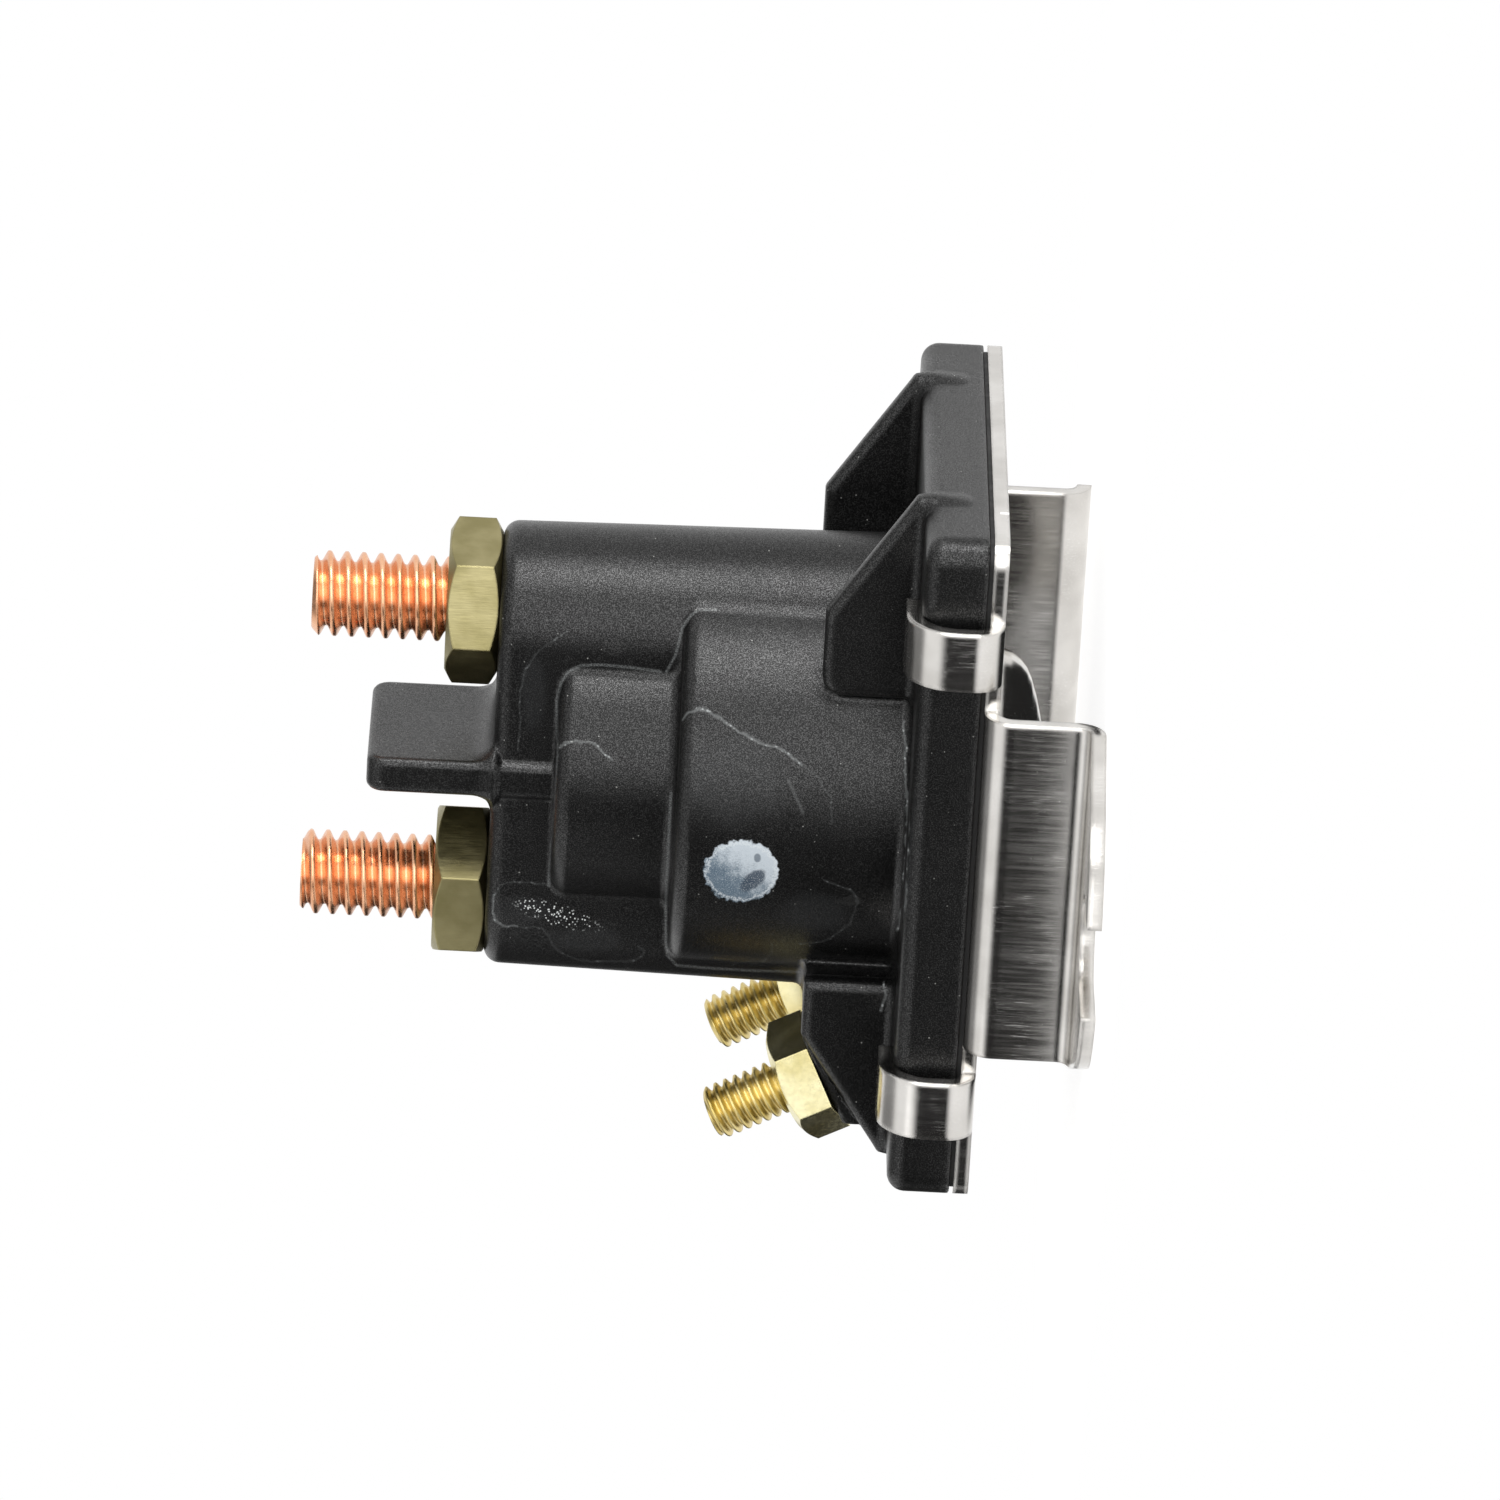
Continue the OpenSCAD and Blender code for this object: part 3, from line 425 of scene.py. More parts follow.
def paint_dab(g, flat, near_half, grain):
    """One inside a worn dab of pale paint, and the paint's colour."""
    dab = blob(g, flat, DAB_CENTRE, DAB_RADII, 0.32, 1.9)
    inside = g.times(g.fade(dab, 0.97, 1.03), near_half)
    shift = g.vector("SUBTRACT", flat, (*DAB_CENTRE, 0.0))
    rise = g.vector("DOT_PRODUCT", shift, (0.14, 0.2, 0.0))
    tone = g.math("ADD", g.noise(flat, 1.3, 3.0, 0.6), rise)
    tone = g.math("ADD", tone, g.times(grain, 0.5))
    paint = g.mix(g.ramp(tone, 0.4, 1.1), PAINT_DARK, PAINT_LIGHT)
    worn = turned_blob(g, flat, WORN_CENTRE, WORN_ANGLE, WORN_RADII, 0.5, 1.4)
    paint = g.mix(g.fade(worn, 0.75, 1.15, 0.9), paint, PAINT_WORN)
    flecks = g.ramp(g.noise(flat, 12.0, 1.0), 0.56, 0.68, 0.0, 0.45)
    paint = g.mix(flecks, paint, PAINT_FLECK)
    spot = g.fade(blob(g, flat, SPOT_CENTRE, SPOT_RADII, 0.3, 3.0), 0.7, 1.1, 0.7)
    paint = g.mix(spot, paint, PAINT_SPOT)
    rim = g.times(band(g, dab, 0.93, 0.08), g.ramp(grain, 0.35, 0.55))
    paint = g.mix(g.times(rim, 0.7), paint, PAINT_RIM)
    return inside, paint


def plastic_material():
    """Satin black thermoset with a fine speckle, dried film marks, dust, a dab of paint and painted
    highlights.
    """
    material = new_material("housing_black")
    g = Graph(material.node_tree)
    place = g.place()
    colour, rough, gloss, fine = clean_plastic(g, place)
    flat, near_half = near_side(g, place)
    facing = g.vector("DOT_PRODUCT", g.node("ShaderNodeNewGeometry").outputs["Normal"], -AHEAD)
    near = g.times(near_half, g.ramp(facing, 0.06, 0.2))
    dust = dust_specks(g, place)
    grain = g.noise(flat, 9.0, 1.0)
    films = film_lines(g, flat, near)
    ridges = ridge_highlights(g, flat, near, grain)
    stains = film_stains(g, flat, near)
    specks = sprayed_specks(g, flat, near)
    scratch = drawn_lines(g, flat, [SCRATCH], 0.02, 0.2, 0.16)
    colour = g.mix(g.times(stains, 0.35), colour, STAIN_GREY)
    colour = g.mix(g.times(scratch, near), colour, SCRATCH_GREY)
    # Painted highlight lines along the drums' ridges, in the same grey as the film edges
    colour = g.mix(ridges, colour, FILM_AND_HIGHLIGHT_GREY)
    colour = g.mix(films, colour, FILM_AND_HIGHLIGHT_GREY)
    colour = g.mix(specks, colour, SPRAY_WHITE)
    colour = g.mix(g.times(dust, 0.8), colour, DUST_GREY)
    inside, paint = paint_dab(g, flat, near_half, grain)
    colour = g.mix(inside, colour, paint)
    rough = g.math("ADD", rough, g.times(inside, 0.15))
    height = g.math("ADD", fine, g.times(inside, 0.8))
    normal = g.bump(height, distance=0.00002, strength=0.8)
    g.finish(Base_Color=colour, Roughness=rough, Specular_IOR_Level=gloss, Normal=normal)
    return material


def metal_material(name, dark, light, rough_low, rough_high, grain=(1.0, 1.0, 1.0),
                   depth=0.000004, edge=0.00012):
    """A turned or rolled metal: two tones, uneven gloss and fine lines along one direction."""
    material = new_material(name)
    g = Graph(material.node_tree)
    place = g.place()
    lines = g.noise(g.vector("MULTIPLY", place, grain), 3.0, 5.0, 0.65)
    broad = g.noise(place, 0.35, 3.0)
    colour = g.mix(g.ramp(broad, 0.3, 0.7), (*dark, 1), (*light, 1))
    rough = g.ramp(lines, 0.3, 0.7, rough_low, rough_high)
    normal = g.bump(lines, depth, 0.6, g.rounded_edges(edge))
    g.finish(Base_Color=colour, Roughness=rough, Metallic=1.0, Normal=normal)
    return material


def sheet_material():
    """Rolled sheet, bright but worn: patches of long scratches along the studs, dark specks."""
    material = new_material("bracket_sheet")
    g = Graph(material.node_tree)
    place = g.place()
    broad = g.noise(place, 0.22, 2.0)
    streaks = g.noise(g.vector("MULTIPLY", place, (5.0, 5.0, 0.22)), 1.0, 4.0, 0.6)
    hair = g.noise(g.vector("MULTIPLY", place, (14.0, 14.0, 0.5)), 1.0, 2.0, 0.5)
    patch = g.ramp(g.noise(place, 0.3, 2.0), 0.42, 0.62)
    scratch = g.times(g.ramp(hair, 0.56, 0.68), patch)
    dots = g.times(g.fade(g.voronoi(place, 1.1), 0.05, 0.1), g.ramp(broad, 0.4, 0.6))
    flat, near_half = near_side(g, place)
    nick = g.times(drawn_lines(g, flat, NICKS, 0.05, 0.12, 1.0), near_half)
    colour = g.mix(g.ramp(broad, 0.3, 0.7), SHEET_DARK, SHEET_LIGHT)
    colour = g.mix(g.times(scratch, 0.35), colour, SHEET_SCRATCH)
    colour = g.mix(nick, colour, SHEET_NICK)
    rough = g.math("ADD", g.ramp(streaks, 0.3, 0.7, 0.11, 0.18), g.times(scratch, 0.11))
    rough = g.math("ADD", rough, g.times(nick, 0.5))
    height = g.math("ADD", g.times(streaks, 0.6), g.times(scratch, 0.8))
    height = g.math("SUBTRACT", height, g.times(dots, 1.5))
    normal = g.bump(height, 0.000001, 1.0, g.rounded_edges(0.0005))
    g.finish(Base_Color=colour, Roughness=rough, Metallic=1.0, Normal=normal)
    return material


def plain_material(name, colour, rough):
    """Inner pieces: one colour broken by a soft mottle and a fine bump."""
    material = new_material(name)
    g = Graph(material.node_tree)
    mottle = g.noise(g.place(), 1.2, 3.0)
    darker = tuple(0.75 * c for c in colour)
    shade = g.mix(mottle, (*darker, 1), (*colour, 1))
    gloss = g.ramp(mottle, 0.3, 0.7, rough * 0.85, rough * 1.15)
    g.finish(Base_Color=shade, Roughness=gloss, Normal=g.bump(mottle, 0.00004, 0.4))
    return material


HOUSING = plastic_material()
SHEET = sheet_material()
COPPER = metal_material("stud_copper", (0.8, 0.4, 0.22), (0.9, 0.52, 0.32), 0.2, 0.36)
NUT_BRASS = metal_material("nut_brass", (0.25, 0.22, 0.1), (0.35, 0.31, 0.16), 0.28, 0.48,
                           grain=(5.0, 5.0, 0.2), depth=0.00001, edge=0.0002)
BRIGHT_BRASS = metal_material("control_brass", (0.64, 0.56, 0.26), (0.86, 0.8, 0.5), 0.14, 0.26)
GOLD_BRASS = metal_material("control_thread", (0.64, 0.5, 0.17), (0.82, 0.68, 0.32), 0.26, 0.42)
GASKET = plain_material("gasket_rubber", (0.02, 0.02, 0.02), 0.6)
NYLON = plain_material("bobbin_nylon", (0.72, 0.68, 0.58), 0.45)
WIRE = metal_material("coil_wire", (0.42, 0.13, 0.05), (0.62, 0.25, 0.1), 0.25, 0.4,
                      grain=(0.3, 0.3, 9.0), depth=0.00005)
TAPE = plain_material("wrap_tape", (0.6, 0.5, 0.2), 0.6)
IRON = metal_material("soft_iron", (0.42, 0.42, 0.42), (0.6, 0.6, 0.6), 0.3, 0.45)
STEEL = metal_material("spring_steel", (0.5, 0.5, 0.5), (0.7, 0.7, 0.7), 0.2, 0.3)
FIBRE = plain_material("vulcan_fibre", (0.33, 0.1, 0.06), 0.55)

BY_SLOT = {
    "housing": HOUSING, "bracket": SHEET, "gasket": GASKET, "copper_stud": COPPER,
    "power_nut": NUT_BRASS, "control_brass": BRIGHT_BRASS, "nylon": NYLON, "coil_wire": WIRE,
    "wrap_tape": TAPE, "soft_iron": IRON, "spring_steel": STEEL, "fibre": FIBRE,
}


def dress_nodes():
    """Gives each carried node the material of its slot."""
    for row in frame["record"]["subparts"]:
        obj = frame["nodes"][row["node"]]
        obj.data.materials.clear()
        obj.data.materials.append(BY_SLOT[row["material_slot"]])


# Studs, from points and faces in millimetres

def mesh_object(name, points, faces, material, body):
    """A new piece from points in millimetres, riding on a body."""
    mesh = bpy.data.meshes.new(name)
    mesh.from_pydata([(x * MM, y * MM, z * MM) for x, y, z in points], [], faces)
    mesh.update()
    mesh.materials.append(material)
    obj = add_object(name, mesh)
    for polygon in mesh.polygons:
        polygon.use_smooth = True
    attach(obj, body)
    return obj


def stack_rings(rings, sides):
    """Faces that join equal rings of points one above the other, with both ends closed."""
    faces = []
    for row in range(rings - 1):
        for k in range(sides):
            a = row * sides + k
            b = row * sides + (k + 1) % sides
            faces.append((a, b, b + sides, a + sides))
    faces.append(tuple(reversed(range(sides))))
    faces.append(tuple((rings - 1) * sides + k for k in range(sides)))
    return faces


# Thread depth in pitches, and the shares of half a pitch that are flat root and flank
THREAD_DEPTH = 0.6
THREAD_ROOT = 0.13
THREAD_FLANK = 0.7


def thread_radius(phase, pitch, major):
    """Radius of a rolled thread at a place along one pitch, with soft crests and roots."""
    depth = THREAD_DEPTH * pitch
    wave = abs(((phase / pitch) % 1.0) * 2.0 - 1.0)
    wave = min(max((wave - THREAD_ROOT) / THREAD_FLANK, 0.0), 1.0)
    wave = wave * 0.55 + 0.45 * wave * wave * (3.0 - 2.0 * wave)
    return major - depth * (1.0 - wave)


def threaded_rod(low, high, pitch, major, chamfer, start_turn, sides=72, per_pitch=14):
    """Points and faces of a rod along Z with a helical thread and a chamfered far end."""
    step = pitch / per_pitch
    count = int((high - low) / step)
    levels = [low + i * (high - low) / count for i in range(count + 1)]
    points = []
    for z in levels:
        cap = major - max(0.0, z - (high - chamfer))
        for k in range(sides):
            turn = 2 * math.pi * k / sides
            phase = z - low - pitch * (turn / (2 * math.pi) + start_turn)
            r = min(thread_radius(phase, pitch, major), cap)
            points.append((r * math.cos(turn), r * math.sin(turn), z))
    faces = stack_rings(len(levels), sides)
    return points, faces


def plain_rod(rings, sides=72):
    """Points and faces of a turned solid from its (z, radius) stations."""
    points = []
    for z, r in rings:
        for k in range(sides):
            turn = 2 * math.pi * k / sides
            points.append((r * math.cos(turn), r * math.sin(turn), z))
    return points, stack_rings(len(rings), sides)


def merged(*solids):
    """One list of points and faces from several solids."""
    points, faces = [], []
    for more_points, more_faces in solids:
        base = len(points)
        points += more_points
        faces += [tuple(base + i for i in face) for face in more_faces]
    return points, faces


# Power stud along Z: its thread, and the (level, radius) stations of its neck and head
POWER_THREAD = {"low": END_FACE - 1.2, "high": STUD_TOP, "pitch": 1.27, "major": 3.175,
                "chamfer": 0.55}
POWER_NECK = [(40.4, 2.9), (END_FACE - 1.0, 2.9)]
POWER_HEAD = [(38.15, 4.0), (40.45, 4.0)]

# Control stud along its own axis, zero at its seat
CONTROL_THREAD = {"low": 1.0, "high": 9.27, "pitch": 0.794, "major": 2.083, "chamfer": 0.35,
                  "sides": 56, "per_pitch": 12}
CONTROL_NECK = [(-3.1, 2.0), (1.2, 2.0)]
CONTROL_HEAD = [(-4.4, 3.2), (-3.0, 3.2)]
CONTROL_SIDES = 48


def power_stud(name, x, turn):
    """Copper stud at a place along X, its thread started at a share of a turn."""
    rod = threaded_rod(**POWER_THREAD, start_turn=turn)
    points, faces = merged(rod, plain_rod(POWER_NECK), plain_rod(POWER_HEAD))
    points = [(px + x, py, pz) for px, py, pz in points]
    obj = mesh_object(name + "_threaded", points, faces, COPPER, "case")
    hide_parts(name)


def control_place(side):
    """Moves points from a control stud's own axis to its place on the body."""
    x, y, z = CONTROL_SEAT
    tilt = Matrix.Rotation(-CONTROL_TILT, 4, "Y")
    return Matrix.Translation((x, side * y, z)) @ tilt


def control_stud(name, side, turn):
    """Brass stud on one side of the seat, its thread started at a share of a turn."""
    rod = threaded_rod(**CONTROL_THREAD, start_turn=turn)
    neck, head = plain_rod(CONTROL_NECK, CONTROL_SIDES), plain_rod(CONTROL_HEAD, CONTROL_SIDES)
    points, faces = merged(rod, neck, head)
    place = control_place(side)
    points = [tuple(place @ Vector(p)) for p in points]
    obj = mesh_object(name + "_threaded", points, faces, GOLD_BRASS, "case")
    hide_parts(name)


# Housing shape, in millimetres

OVAL_TOP_R = 7.1
OVAL_CENTRE_X = 17.35 - OVAL_TOP_R
OVAL_DRAFT = math.tan(math.radians(1.0))
DRUM_DRAFT = OVAL_DRAFT / 2
COIL_DRUM_R = 15.5
CONTACT_DRUM_R = 11.5
FLANGE_HALF = (26.15, 21.1)
GUSSET_Y = (11.3, 13.1)
GUSSET_TOE = [(17.05, 20.55), (25.75, 14.72), (26.35, 14.35), (26.55, 13.3), (26.05, 10.9),
              (24.0, 10.2)]
GUSSET_HEEL = [(10.4, 12.6), (10.4, 19.1), (10.7, 20.0), (11.2, 20.4), (11.9, 20.55)]
GUSSET_OUTLINE = GUSSET_HEEL + GUSSET_TOE
LOW_GUSSET_OUTLINE = [(12.5, 12.6), (12.5, 20.55)] + GUSSET_TOE
SEAT_OUTLINE = [(-12.4, 12.6), (-12.4, 20.4), (-17.8, 20.4), (-24.56, 16.98), (-24.56, 12.6)]
SEAT_HALF_Y = 12.0
BARRIER_HALF = (1.37, 7.7)
BARRIER_MIDDLE = 30.0
BARRIER_TOP = END_FACE + 9.3
BARRIER_LOW = 36.0

# Rounds on outer edges and corners
BODY_EDGE = 1.2
FLANGE_CORNER = 1.9
FLANGE_EDGE = 1.35
FLANGE_BACK_EDGE = 0.15
GUSSET_EDGE = 0.75
SEAT_EDGE = 0.3
BARRIER_CORNER = 1.3
BARRIER_EDGE = 0.6

# Fillets where forms meet; the barrier's grows as it comes out of the end face
DRUM_FILLET = 0.9
OVAL_FILLET = 0.35
GUSSET_FILLET = 0.7
FLANGE_FILLET = 0.8
BARRIER_SIDE_R = 0.3
BARRIER_ROOT_R = 1.9
BARRIER_ROOT_LEVEL = 43.6
BARRIER_ROOT_RISE = 0.8

# Hollows: the coil's and the contacts' chambers, the power studs' head pocket and holes,
# the leads' channels, and the control studs' head pockets and holes
COIL_CHAMBER_R, COIL_CHAMBER_TOP = 13.9, 29.15
CONTACT_CHAMBER_R, CONTACT_CHAMBER_TOP = 10.0, 38.35
HEAD_POCKET_R, HEAD_POCKET_LOW, HEAD_POCKET_TOP = 5.6, 35.3, 40.45
STUD_HOLE_R, STUD_HOLE_LOW = 3.25, 39.0
CHANNEL_CENTRE, CHANNEL_HALF, CHANNEL_TOP = (-14.9, 6.2), (3.0, 1.9), 12.5
CONTROL_POCKET_R, CONTROL_POCKET_DEPTH = 3.7, 3.0
CONTROL_HOLE_R, CONTROL_HOLE_REACH = 2.15, 5.0


def round_union(a, b, r):
    """Union of two distances with a fillet of radius r in the corner between them."""
    u = np.maximum(r - a, 0.0)
    v = np.maximum(r - b, 0.0)
    return np.maximum(r, np.minimum(a, b)) - np.sqrt(u * u + v * v)


def round_cut(a, b, r):
    """Intersection of two distances with its outer edge rounded to radius r."""
    u = np.maximum(r + a, 0.0)
    v = np.maximum(r + b, 0.0)
    return np.minimum(-r, np.maximum(a, b)) + np.sqrt(u * u + v * v)


def box_distance(u, v, half_u, half_v, r):
    """Distance to a rectangle about the origin with round corners."""
    du = np.abs(u) - (half_u - r)
    dv = np.abs(v) - (half_v - r)
    outside = np.sqrt(np.maximum(du, 0.0) ** 2 + np.maximum(dv, 0.0) ** 2)
    return outside + np.minimum(np.maximum(du, dv), 0.0) - r


def outline_distance(u, v, corners):
    """Distance to a closed outline, below zero inside it."""
    best = None
    inside = np.zeros(np.broadcast(u, v).shape, dtype=bool)
    for (u0, v0), (u1, v1) in zip(corners, corners[1:] + corners[:1]):
        eu, ev = u1 - u0, v1 - v0
        wu, wv = u - u0, v - v0
        t = np.clip((wu * eu + wv * ev) / (eu * eu + ev * ev), 0.0, 1.0)
        square = (wu - t * eu) ** 2 + (wv - t * ev) ** 2
        best = square if best is None else np.minimum(best, square)
        crosses = (v0 > v) != (v1 > v)
        if ev != 0.0:
            inside ^= crosses & (u < (v - v0) * eu / ev + u0)
    return np.where(inside, -1.0, 1.0) * np.sqrt(best)


def housing_cuts(x, y, z):
    """Distance to everything that is taken out of the housing."""
    round_xy = np.sqrt(x * x + y * y)
    cut = np.maximum(round_xy - COIL_CHAMBER_R, z - COIL_CHAMBER_TOP)
    cut = np.minimum(cut, np.maximum(round_xy - CONTACT_CHAMBER_R, z - CONTACT_CHAMBER_TOP))
    pocket = np.sqrt(np.maximum(np.abs(x) - OVAL_CENTRE_X, 0.0) ** 2 + y * y) - HEAD_POCKET_R
    pocket = np.maximum(pocket, np.maximum(z - HEAD_POCKET_TOP, HEAD_POCKET_LOW - z))
    cut = np.minimum(cut, pocket)
    at_stud = np.sqrt((np.abs(x) - STUD_PITCH / 2) ** 2 + y * y)
    cut = np.minimum(cut, np.maximum(at_stud - STUD_HOLE_R, STUD_HOLE_LOW - z))
    channel = np.maximum(np.abs(x - CHANNEL_CENTRE[0]) - CHANNEL_HALF[0],
                         np.abs(np.abs(y) - CHANNEL_CENTRE[1]) - CHANNEL_HALF[1])
    cut = np.minimum(cut, np.maximum(channel, z - CHANNEL_TOP))
    sx, sy, sz = CONTROL_SEAT
    ax, az = -math.sin(CONTROL_TILT), math.cos(CONTROL_TILT)
    along = (x - sx) * ax + (z - sz) * az
    across = np.sqrt(((x - sx) * az - (z - sz) * ax) ** 2 + (np.abs(y) - sy) ** 2)
    cut = np.minimum(cut, np.maximum(across - CONTROL_POCKET_R, along + CONTROL_POCKET_DEPTH))
    hole = np.maximum(across - CONTROL_HOLE_R, np.abs(along) - CONTROL_HOLE_REACH)
    return np.minimum(cut, hole)


def housing_distance(x, y, z):
    """Distance to the moulded housing: body, drums, flange, gussets, seat, barrier and hollows."""
    round_xy = np.sqrt(x * x + y * y)
    oval_r = OVAL_TOP_R + (END_FACE - z) * OVAL_DRAFT
    oval = np.sqrt(np.maximum(np.abs(x) - OVAL_CENTRE_X, 0.0) ** 2 + y * y) - oval_r
    oval = round_cut(oval, z - END_FACE, BODY_EDGE)
    coil = round_xy - (COIL_DRUM_R + (COIL_DRUM_TOP - z) * DRUM_DRAFT)
    coil = round_cut(coil, z - COIL_DRUM_TOP, BODY_EDGE)
    contact = round_xy - (CONTACT_DRUM_R + (CONTACT_DRUM_TOP - z) * DRUM_DRAFT)
    contact = round_cut(contact, z - CONTACT_DRUM_TOP, BODY_EDGE)
    shape = round_union(coil, contact, DRUM_FILLET)
    shape = round_union(shape, oval, OVAL_FILLET)
    gusset = np.where(x > 0.0, outline_distance(x, z, GUSSET_OUTLINE),
                      outline_distance(-x, z, LOW_GUSSET_OUTLINE))
    low_y, high_y = GUSSET_Y
    slab = np.abs(np.abs(y) - (low_y + high_y) / 2) - (high_y - low_y) / 2
    gusset = round_cut(gusset, slab, GUSSET_EDGE)
    seat = round_cut(outline_distance(x, z, SEAT_OUTLINE), np.abs(y) - SEAT_HALF_Y, SEAT_EDGE)
    half_x, half_y = BARRIER_HALF
    barrier = box_distance(y, z - BARRIER_MIDDLE, half_y, BARRIER_TOP - BARRIER_MIDDLE,
                           BARRIER_CORNER)
    barrier = round_cut(barrier, np.abs(x) - half_x, BARRIER_EDGE)
    barrier = np.maximum(barrier, BARRIER_LOW - z)
    root = np.clip((z - BARRIER_ROOT_LEVEL) / BARRIER_ROOT_RISE, 0.0, 1.0)
    growth = BARRIER_ROOT_R - BARRIER_SIDE_R
    root_r = BARRIER_SIDE_R + growth * root * root * (3.0 - 2.0 * root)
    flange = box_distance(x, y, *FLANGE_HALF, FLANGE_CORNER)
    flange = round_cut(flange, z - FLANGE_FRONT, FLANGE_EDGE)
    shape = round_union(shape, np.minimum(gusset, seat), GUSSET_FILLET)
    shape = round_union(shape, barrier, root_r)
    shape = round_union(shape, flange, FLANGE_FILLET)
    shape = round_cut(shape, FLANGE_BACK - z, FLANGE_BACK_EDGE)
    return np.maximum(shape, -housing_cuts(x, y, z))


# Mesh of a distance field

def surface_points(distance, points, rounds=3, reach=0.25):
    """Moves points onto the surface and gives its outward directions there."""
    step = 0.02
    for turn in range(rounds + 1):
        x, y, z = points.T
        slope = np.stack([distance(x + step, y, z) - distance(x - step, y, z),
                          distance(x, y + step, z) - distance(x, y - step, z),
                          distance(x, y, z + step) - distance(x, y, z - step)], axis=1) / (2 * step)
        size = np.maximum(np.sum(slope * slope, axis=1), 1e-6)
        if turn < rounds:
            move = np.clip(distance(x, y, z) / size, -reach, reach)
            points = points - slope * move[:, None]
    return points, slope / np.sqrt(size)[:, None]


def net_surface(distance, low, high, step):
    """Points and quads of a distance field's surface, one point in each cell that it crosses."""
    axes = [np.arange(a, b + step, step, dtype=np.float32) for a, b in zip(low, high)]
    x, y, z = axes[0][:, None, None], axes[1][None, :, None], axes[2][None, None, :]
    field = distance(x, y, z).astype(np.float32)
    inside = field < 0.0
    cells = np.zeros(tuple(n - 1 for n in field.shape), dtype=np.int8)
    for corner in np.ndindex(2, 2, 2):
        cells += inside[tuple(slice(c, c + n) for c, n in zip(corner, cells.shape))]
    active = np.argwhere((cells > 0) & (cells < 8))
    number = np.full(cells.shape, -1, dtype=np.int32)
    number[tuple(active.T)] = np.arange(len(active))
    total = np.zeros((len(active), 3))
    hits = np.zeros(len(active))
    for axis in range(3):
        for side in np.ndindex(2, 2):
            start = np.insert(np.array(side), axis, 0)
            end = start.copy()
            end[axis] = 1
            a = field[tuple((active + start).T)]
            b = field[tuple((active + end).T)]
            crossed = (a < 0) != (b < 0)
            share = np.where(crossed, a / np.where(crossed, a - b, 1.0), 0.0)
            place = start + np.zeros((len(active), 3))
            place[:, axis] = share
            total += place * crossed[:, None]
            hits += crossed
    points = np.array(low) + (active + total / hits[:, None]) * step
    quads = []
    for axis in range(3):
        first, second = (axis + 1) % 3, (axis + 2) % 3
        low_slice = [slice(None)] * 3
        high_slice = [slice(None)] * 3
        low_slice[axis], high_slice[axis] = slice(None, -1), slice(1, None)
        a, b = inside[tuple(low_slice)], inside[tuple(high_slice)]
        edges = np.argwhere(a != b)
        keep = (edges[:, first] > 0) & (edges[:, second] > 0)
        for c, other in ((first, second), (second, first)):
            keep &= edges[:, c] < cells.shape[c]
        edges = edges[keep]
        corners = []
        for back_first, back_second in ((1, 1), (0, 1), (0, 0), (1, 0)):
            cell = edges.copy()
            cell[:, first] -= back_first
            cell[:, second] -= back_second
            corners.append(number[tuple(cell.T)])
        quad = np.stack(corners, axis=1)
        flip = ~a[tuple(edges.T)]
        quad[flip] = quad[flip][:, ::-1]
        quads.append(quad)
    return points, np.concatenate(quads)


def field_object(name, distance, low, high, step, share, material, body):
    """A new piece from a distance field, thinned to a share of its triangles."""
    points, quads = net_surface(distance, low, high, step)
    points, _ = surface_points(distance, points)
    mesh = bpy.data.meshes.new(name)
    mesh.vertices.add(len(points))
    mesh.vertices.foreach_set("co", (points * MM).astype(np.float32).ravel())
    mesh.loops.add(quads.size)
    mesh.loops.foreach_set("vertex_index", quads.astype(np.int32).ravel())
    mesh.polygons.add(len(quads))
    mesh.polygons.foreach_set("loop_start", np.arange(0, quads.size, 4, dtype=np.int32))
    mesh.update(calc_edges=True)
    mesh.validate()
    obj = add_object(name, mesh)
    thin = obj.modifiers.new("thin", "DECIMATE")
    thin.ratio = share
    graph = bpy.context.evaluated_depsgraph_get()
    made = bpy.data.meshes.new_from_object(obj.evaluated_get(graph))
    obj.modifiers.remove(thin)
    obj.data = made
    bpy.data.meshes.remove(mesh)
    made.materials.append(material)
    # The thinned points go back onto the surface and take their shading from the field
    points = np.empty(len(made.vertices) * 3, dtype=np.float32)
    made.vertices.foreach_get("co", points)
    points = points.reshape(-1, 3).astype(float) / MM
    points, normals = surface_points(distance, points, rounds=2)
    made.vertices.foreach_set("co", (points * MM).astype(np.float32).ravel())
    made.polygons.foreach_set("use_smooth", [True] * len(made.polygons))
    made.update()
    made.normals_split_custom_set_from_vertices(normals.astype(np.float32))
    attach(obj, body)
    return obj


# Box that holds the housing, size of the cells that its surface is found in, and share of the
# triangles that is kept
HOUSING_LOW = (-27.6, -22.2, 8.4)
HOUSING_HIGH = (27.6, 22.2, 54.6)
HOUSING_CELL = 0.3
HOUSING_SHARE = 0.55


def make_housing():
    """The housing with its fillets and rounded edges, in the place of the plainer solid."""
    obj = field_object("housing_shell", housing_distance, HOUSING_LOW, HOUSING_HIGH, HOUSING_CELL,
                       HOUSING_SHARE, HOUSING, "case")
    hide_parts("housing")


# Stage and lights, in metres

WORLD_LIGHT = 0.42
FLOOR_R = 0.07
FLOOR_SIDES = 96
FLOOR_DROP = 0.00002
FLOOR_COLOUR = 0.5
FLOOR_GLOW = 0.82
# Distances from the middle, in millimetres, over which the floor turns as white as the world
FLOOR_FADE = (42.0, 66.0)
# The middle of the part
CENTRE = Vector((0.0, 0.0, 0.03))


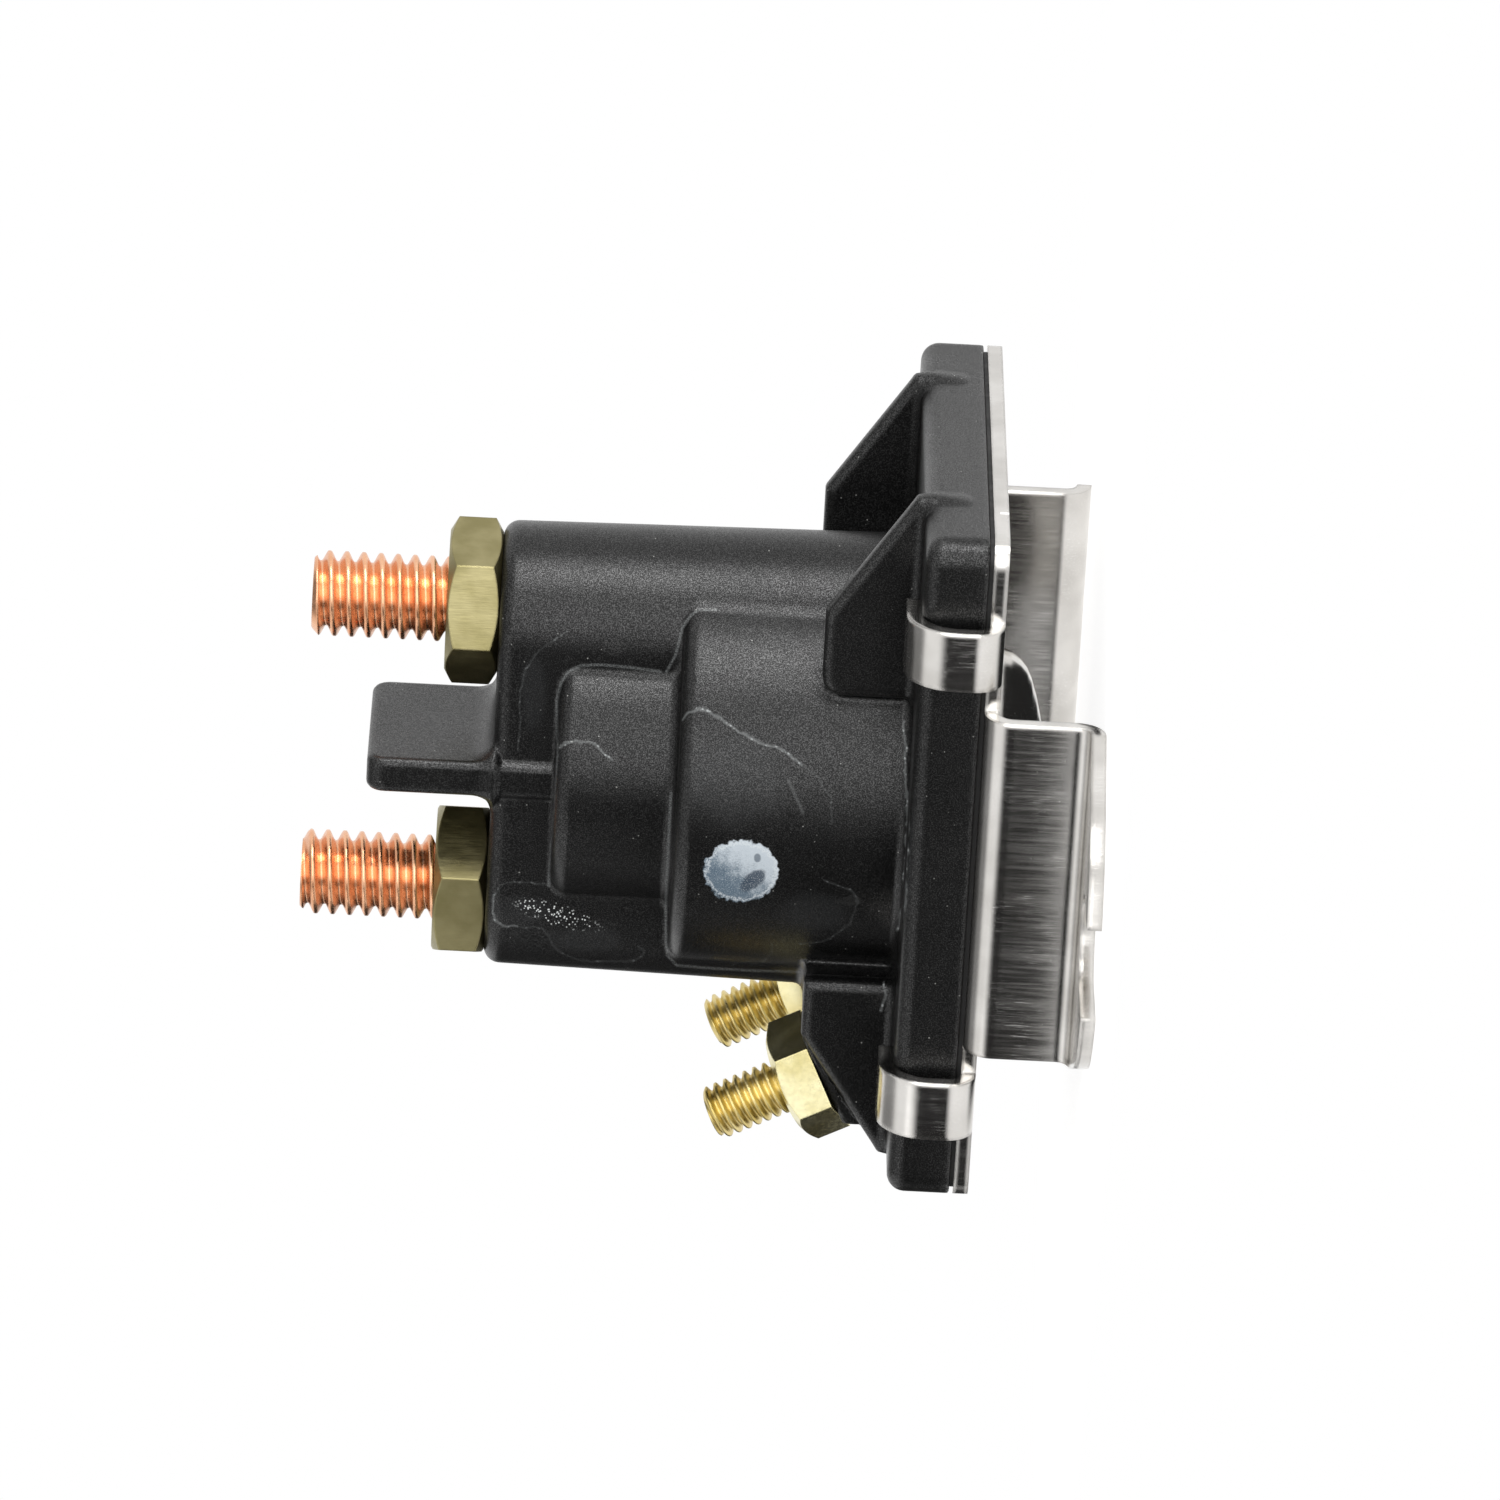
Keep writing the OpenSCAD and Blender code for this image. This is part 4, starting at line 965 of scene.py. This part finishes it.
def make_world():
    """White to the camera and in reflections, with a lower light on the part."""
    world = bpy.data.worlds.new("white_world")
    bpy.context.scene.world = world
    world.use_nodes = True
    world.node_tree.nodes.clear()
    g = Graph(world.node_tree)
    path = g.node("ShaderNodeLightPath").outputs
    seen = g.math("ADD", path["Is Camera Ray"], path["Is Glossy Ray"])
    seen = g.math("ADD", seen, path["Is Transmission Ray"], clamp=True)
    strength = g.ramp(seen, 0.0, 1.0, WORLD_LIGHT, 1.0)
    background = g.node("ShaderNodeBackground", Color=grey(1.0), Strength=strength)
    g.output(background.outputs[0], "ShaderNodeOutputWorld")


def make_floor():
    """Round white floor under the part, which keeps its soft shadow."""
    turns = [2 * math.pi * k / FLOOR_SIDES for k in range(FLOOR_SIDES)]
    rim = [(FLOOR_R * math.cos(turn), FLOOR_R * math.sin(turn), 0.0) for turn in turns]
    mesh = bpy.data.meshes.new("floor")
    mesh.from_pydata(rim, [], [tuple(range(FLOOR_SIDES))])
    floor = add_object("floor", mesh)
    floor.location.z = -FLOOR_DROP
    material = new_material("floor_white")
    g = Graph(material.node_tree)
    diffuse = g.node("ShaderNodeBsdfDiffuse", Color=grey(FLOOR_COLOUR))
    glow = g.node("ShaderNodeEmission", Color=grey(1.0), Strength=FLOOR_GLOW)
    lit = g.node("ShaderNodeAddShader")
    g.tree.links.new(diffuse.outputs[0], lit.inputs[0])
    g.tree.links.new(glow.outputs[0], lit.inputs[1])
    plain = g.node("ShaderNodeEmission", Color=grey(1.0), Strength=1.0)
    fade = g.ramp(g.vector("LENGTH", g.place()), *FLOOR_FADE)
    g.output(g.mixed_shader(fade, lit.outputs[0], plain.outputs[0]))
    mesh.materials.append(material)


def around(angle, distance, shift=0.0):
    """A place beside the part, turned about its long axis from straight up towards the viewer."""
    turn = math.radians(angle)
    away = Vector((math.cos(turn), -math.sin(turn), 0.0))
    return CENTRE + away * distance + Vector((0.0, 0.0, shift))


def inward(angle):
    """Direction back to the part from the places at an angle."""
    return CENTRE - around(angle, 1.0)


def area_lamp(name, place, size, power):
    """A square lamp that faces the part."""
    data = bpy.data.lights.new(name, "AREA")
    data.shape = "RECTANGLE"
    data.size = size
    data.size_y = size
    data.energy = power
    lamp = add_object(name, data)
    lamp.location = place
    lamp.rotation_mode = "QUATERNION"
    lamp.rotation_quaternion = (CENTRE - place).to_track_quat("-Z", "Y")


def reflected_card(name, centre, facing, width, height, shade, soft_around, soft_along):
    """A card that only reflections see, as a photographer hangs beside the camera.

    Its width runs around the part and its height along the studs. A share of each half fades out.
    """
    normal = Vector(facing).normalized()
    rise = Vector((0.0, 1.0, 0.0)) if abs(normal.z) > 0.99 else Vector((0.0, 0.0, 1.0))
    rise = (rise - normal * rise.dot(normal)).normalized()
    side = rise.cross(normal)
    half_w, half_h = width / 2, height / 2
    corners = [(-half_w, -half_h, 0), (half_w, -half_h, 0), (half_w, half_h, 0),
               (-half_w, half_h, 0)]
    mesh = bpy.data.meshes.new(name)
    mesh.from_pydata(corners, [], [(0, 1, 2, 3)])
    card = add_object(name, mesh)
    turn = Matrix((side, rise, normal)).transposed().to_4x4()
    card.matrix_world = Matrix.Translation(Vector(centre)) @ turn
    material = new_material(name)
    g = Graph(material.node_tree)
    place = g.node("ShaderNodeTexCoord").outputs["Object"]
    parts = g.node("ShaderNodeSeparateXYZ", Vector=place).outputs
    edges = ((parts["X"], half_w, soft_around), (parts["Y"], half_h, soft_along))
    cover = joined(g, "MULTIPLY", (
        g.fade(g.math("ABSOLUTE", value), half * (1.0 - soft), half)
        for value, half, soft in edges))
    glow = g.node("ShaderNodeEmission", Color=grey(1.0), Strength=shade)
    clear = g.node("ShaderNodeBsdfTransparent")
    g.output(g.mixed_shader(cover, clear.outputs[0], glow.outputs[0]))
    mesh.materials.append(material)
    card.visible_camera = False
    card.visible_diffuse = False
    card.visible_shadow = False
    card.visible_transmission = False


make_camera()
make_world()
make_floor()

area_lamp("key", around(13, 0.56, 0.02), size=0.3, power=1.7)
area_lamp("front", around(62, 1.15, 0.1), size=1.0, power=5.2)
reflected_card("card_low", around(132, 0.75), inward(132), width=1.4, height=1.15,
               shade=0.02, soft_around=0.55, soft_along=0.6)
reflected_card("card_below", around(200, 0.45, -0.19), inward(200), width=0.75, height=0.64,
               shade=0.04, soft_around=0.5, soft_along=0.25)
reflected_card("card_left", CENTRE + Vector((-0.05, 0.1, 0.59)), (0.0, -0.17, -0.98),
               width=0.9, height=0.7, shade=0.25, soft_around=0.5, soft_along=0.6)
reflected_card("card_bounce", around(140, 0.12, 0.045), inward(140), width=0.1, height=0.055,
               shade=1.6, soft_around=0.4, soft_along=0.25)
# card_under is painted shade: a dark card that reflections see in place of the shaded floor under
# the plate.
reflected_card("card_under", (0.0, -0.004, 0.0002), (0.0, 0.0, 1.0), width=0.05, height=0.036,
               shade=0.02, soft_around=0.2, soft_along=0.2)

dress_nodes()
make_housing()
power_stud("battery_stud", STUD_PITCH / 2, 0.0)
power_stud("motor_stud", -STUD_PITCH / 2, 0.4)
control_stud("signal_stud", -1, 0.0)
control_stud("ground_stud", 1, 0.3)

scene = bpy.context.scene
scene.view_settings.view_transform = "Standard"
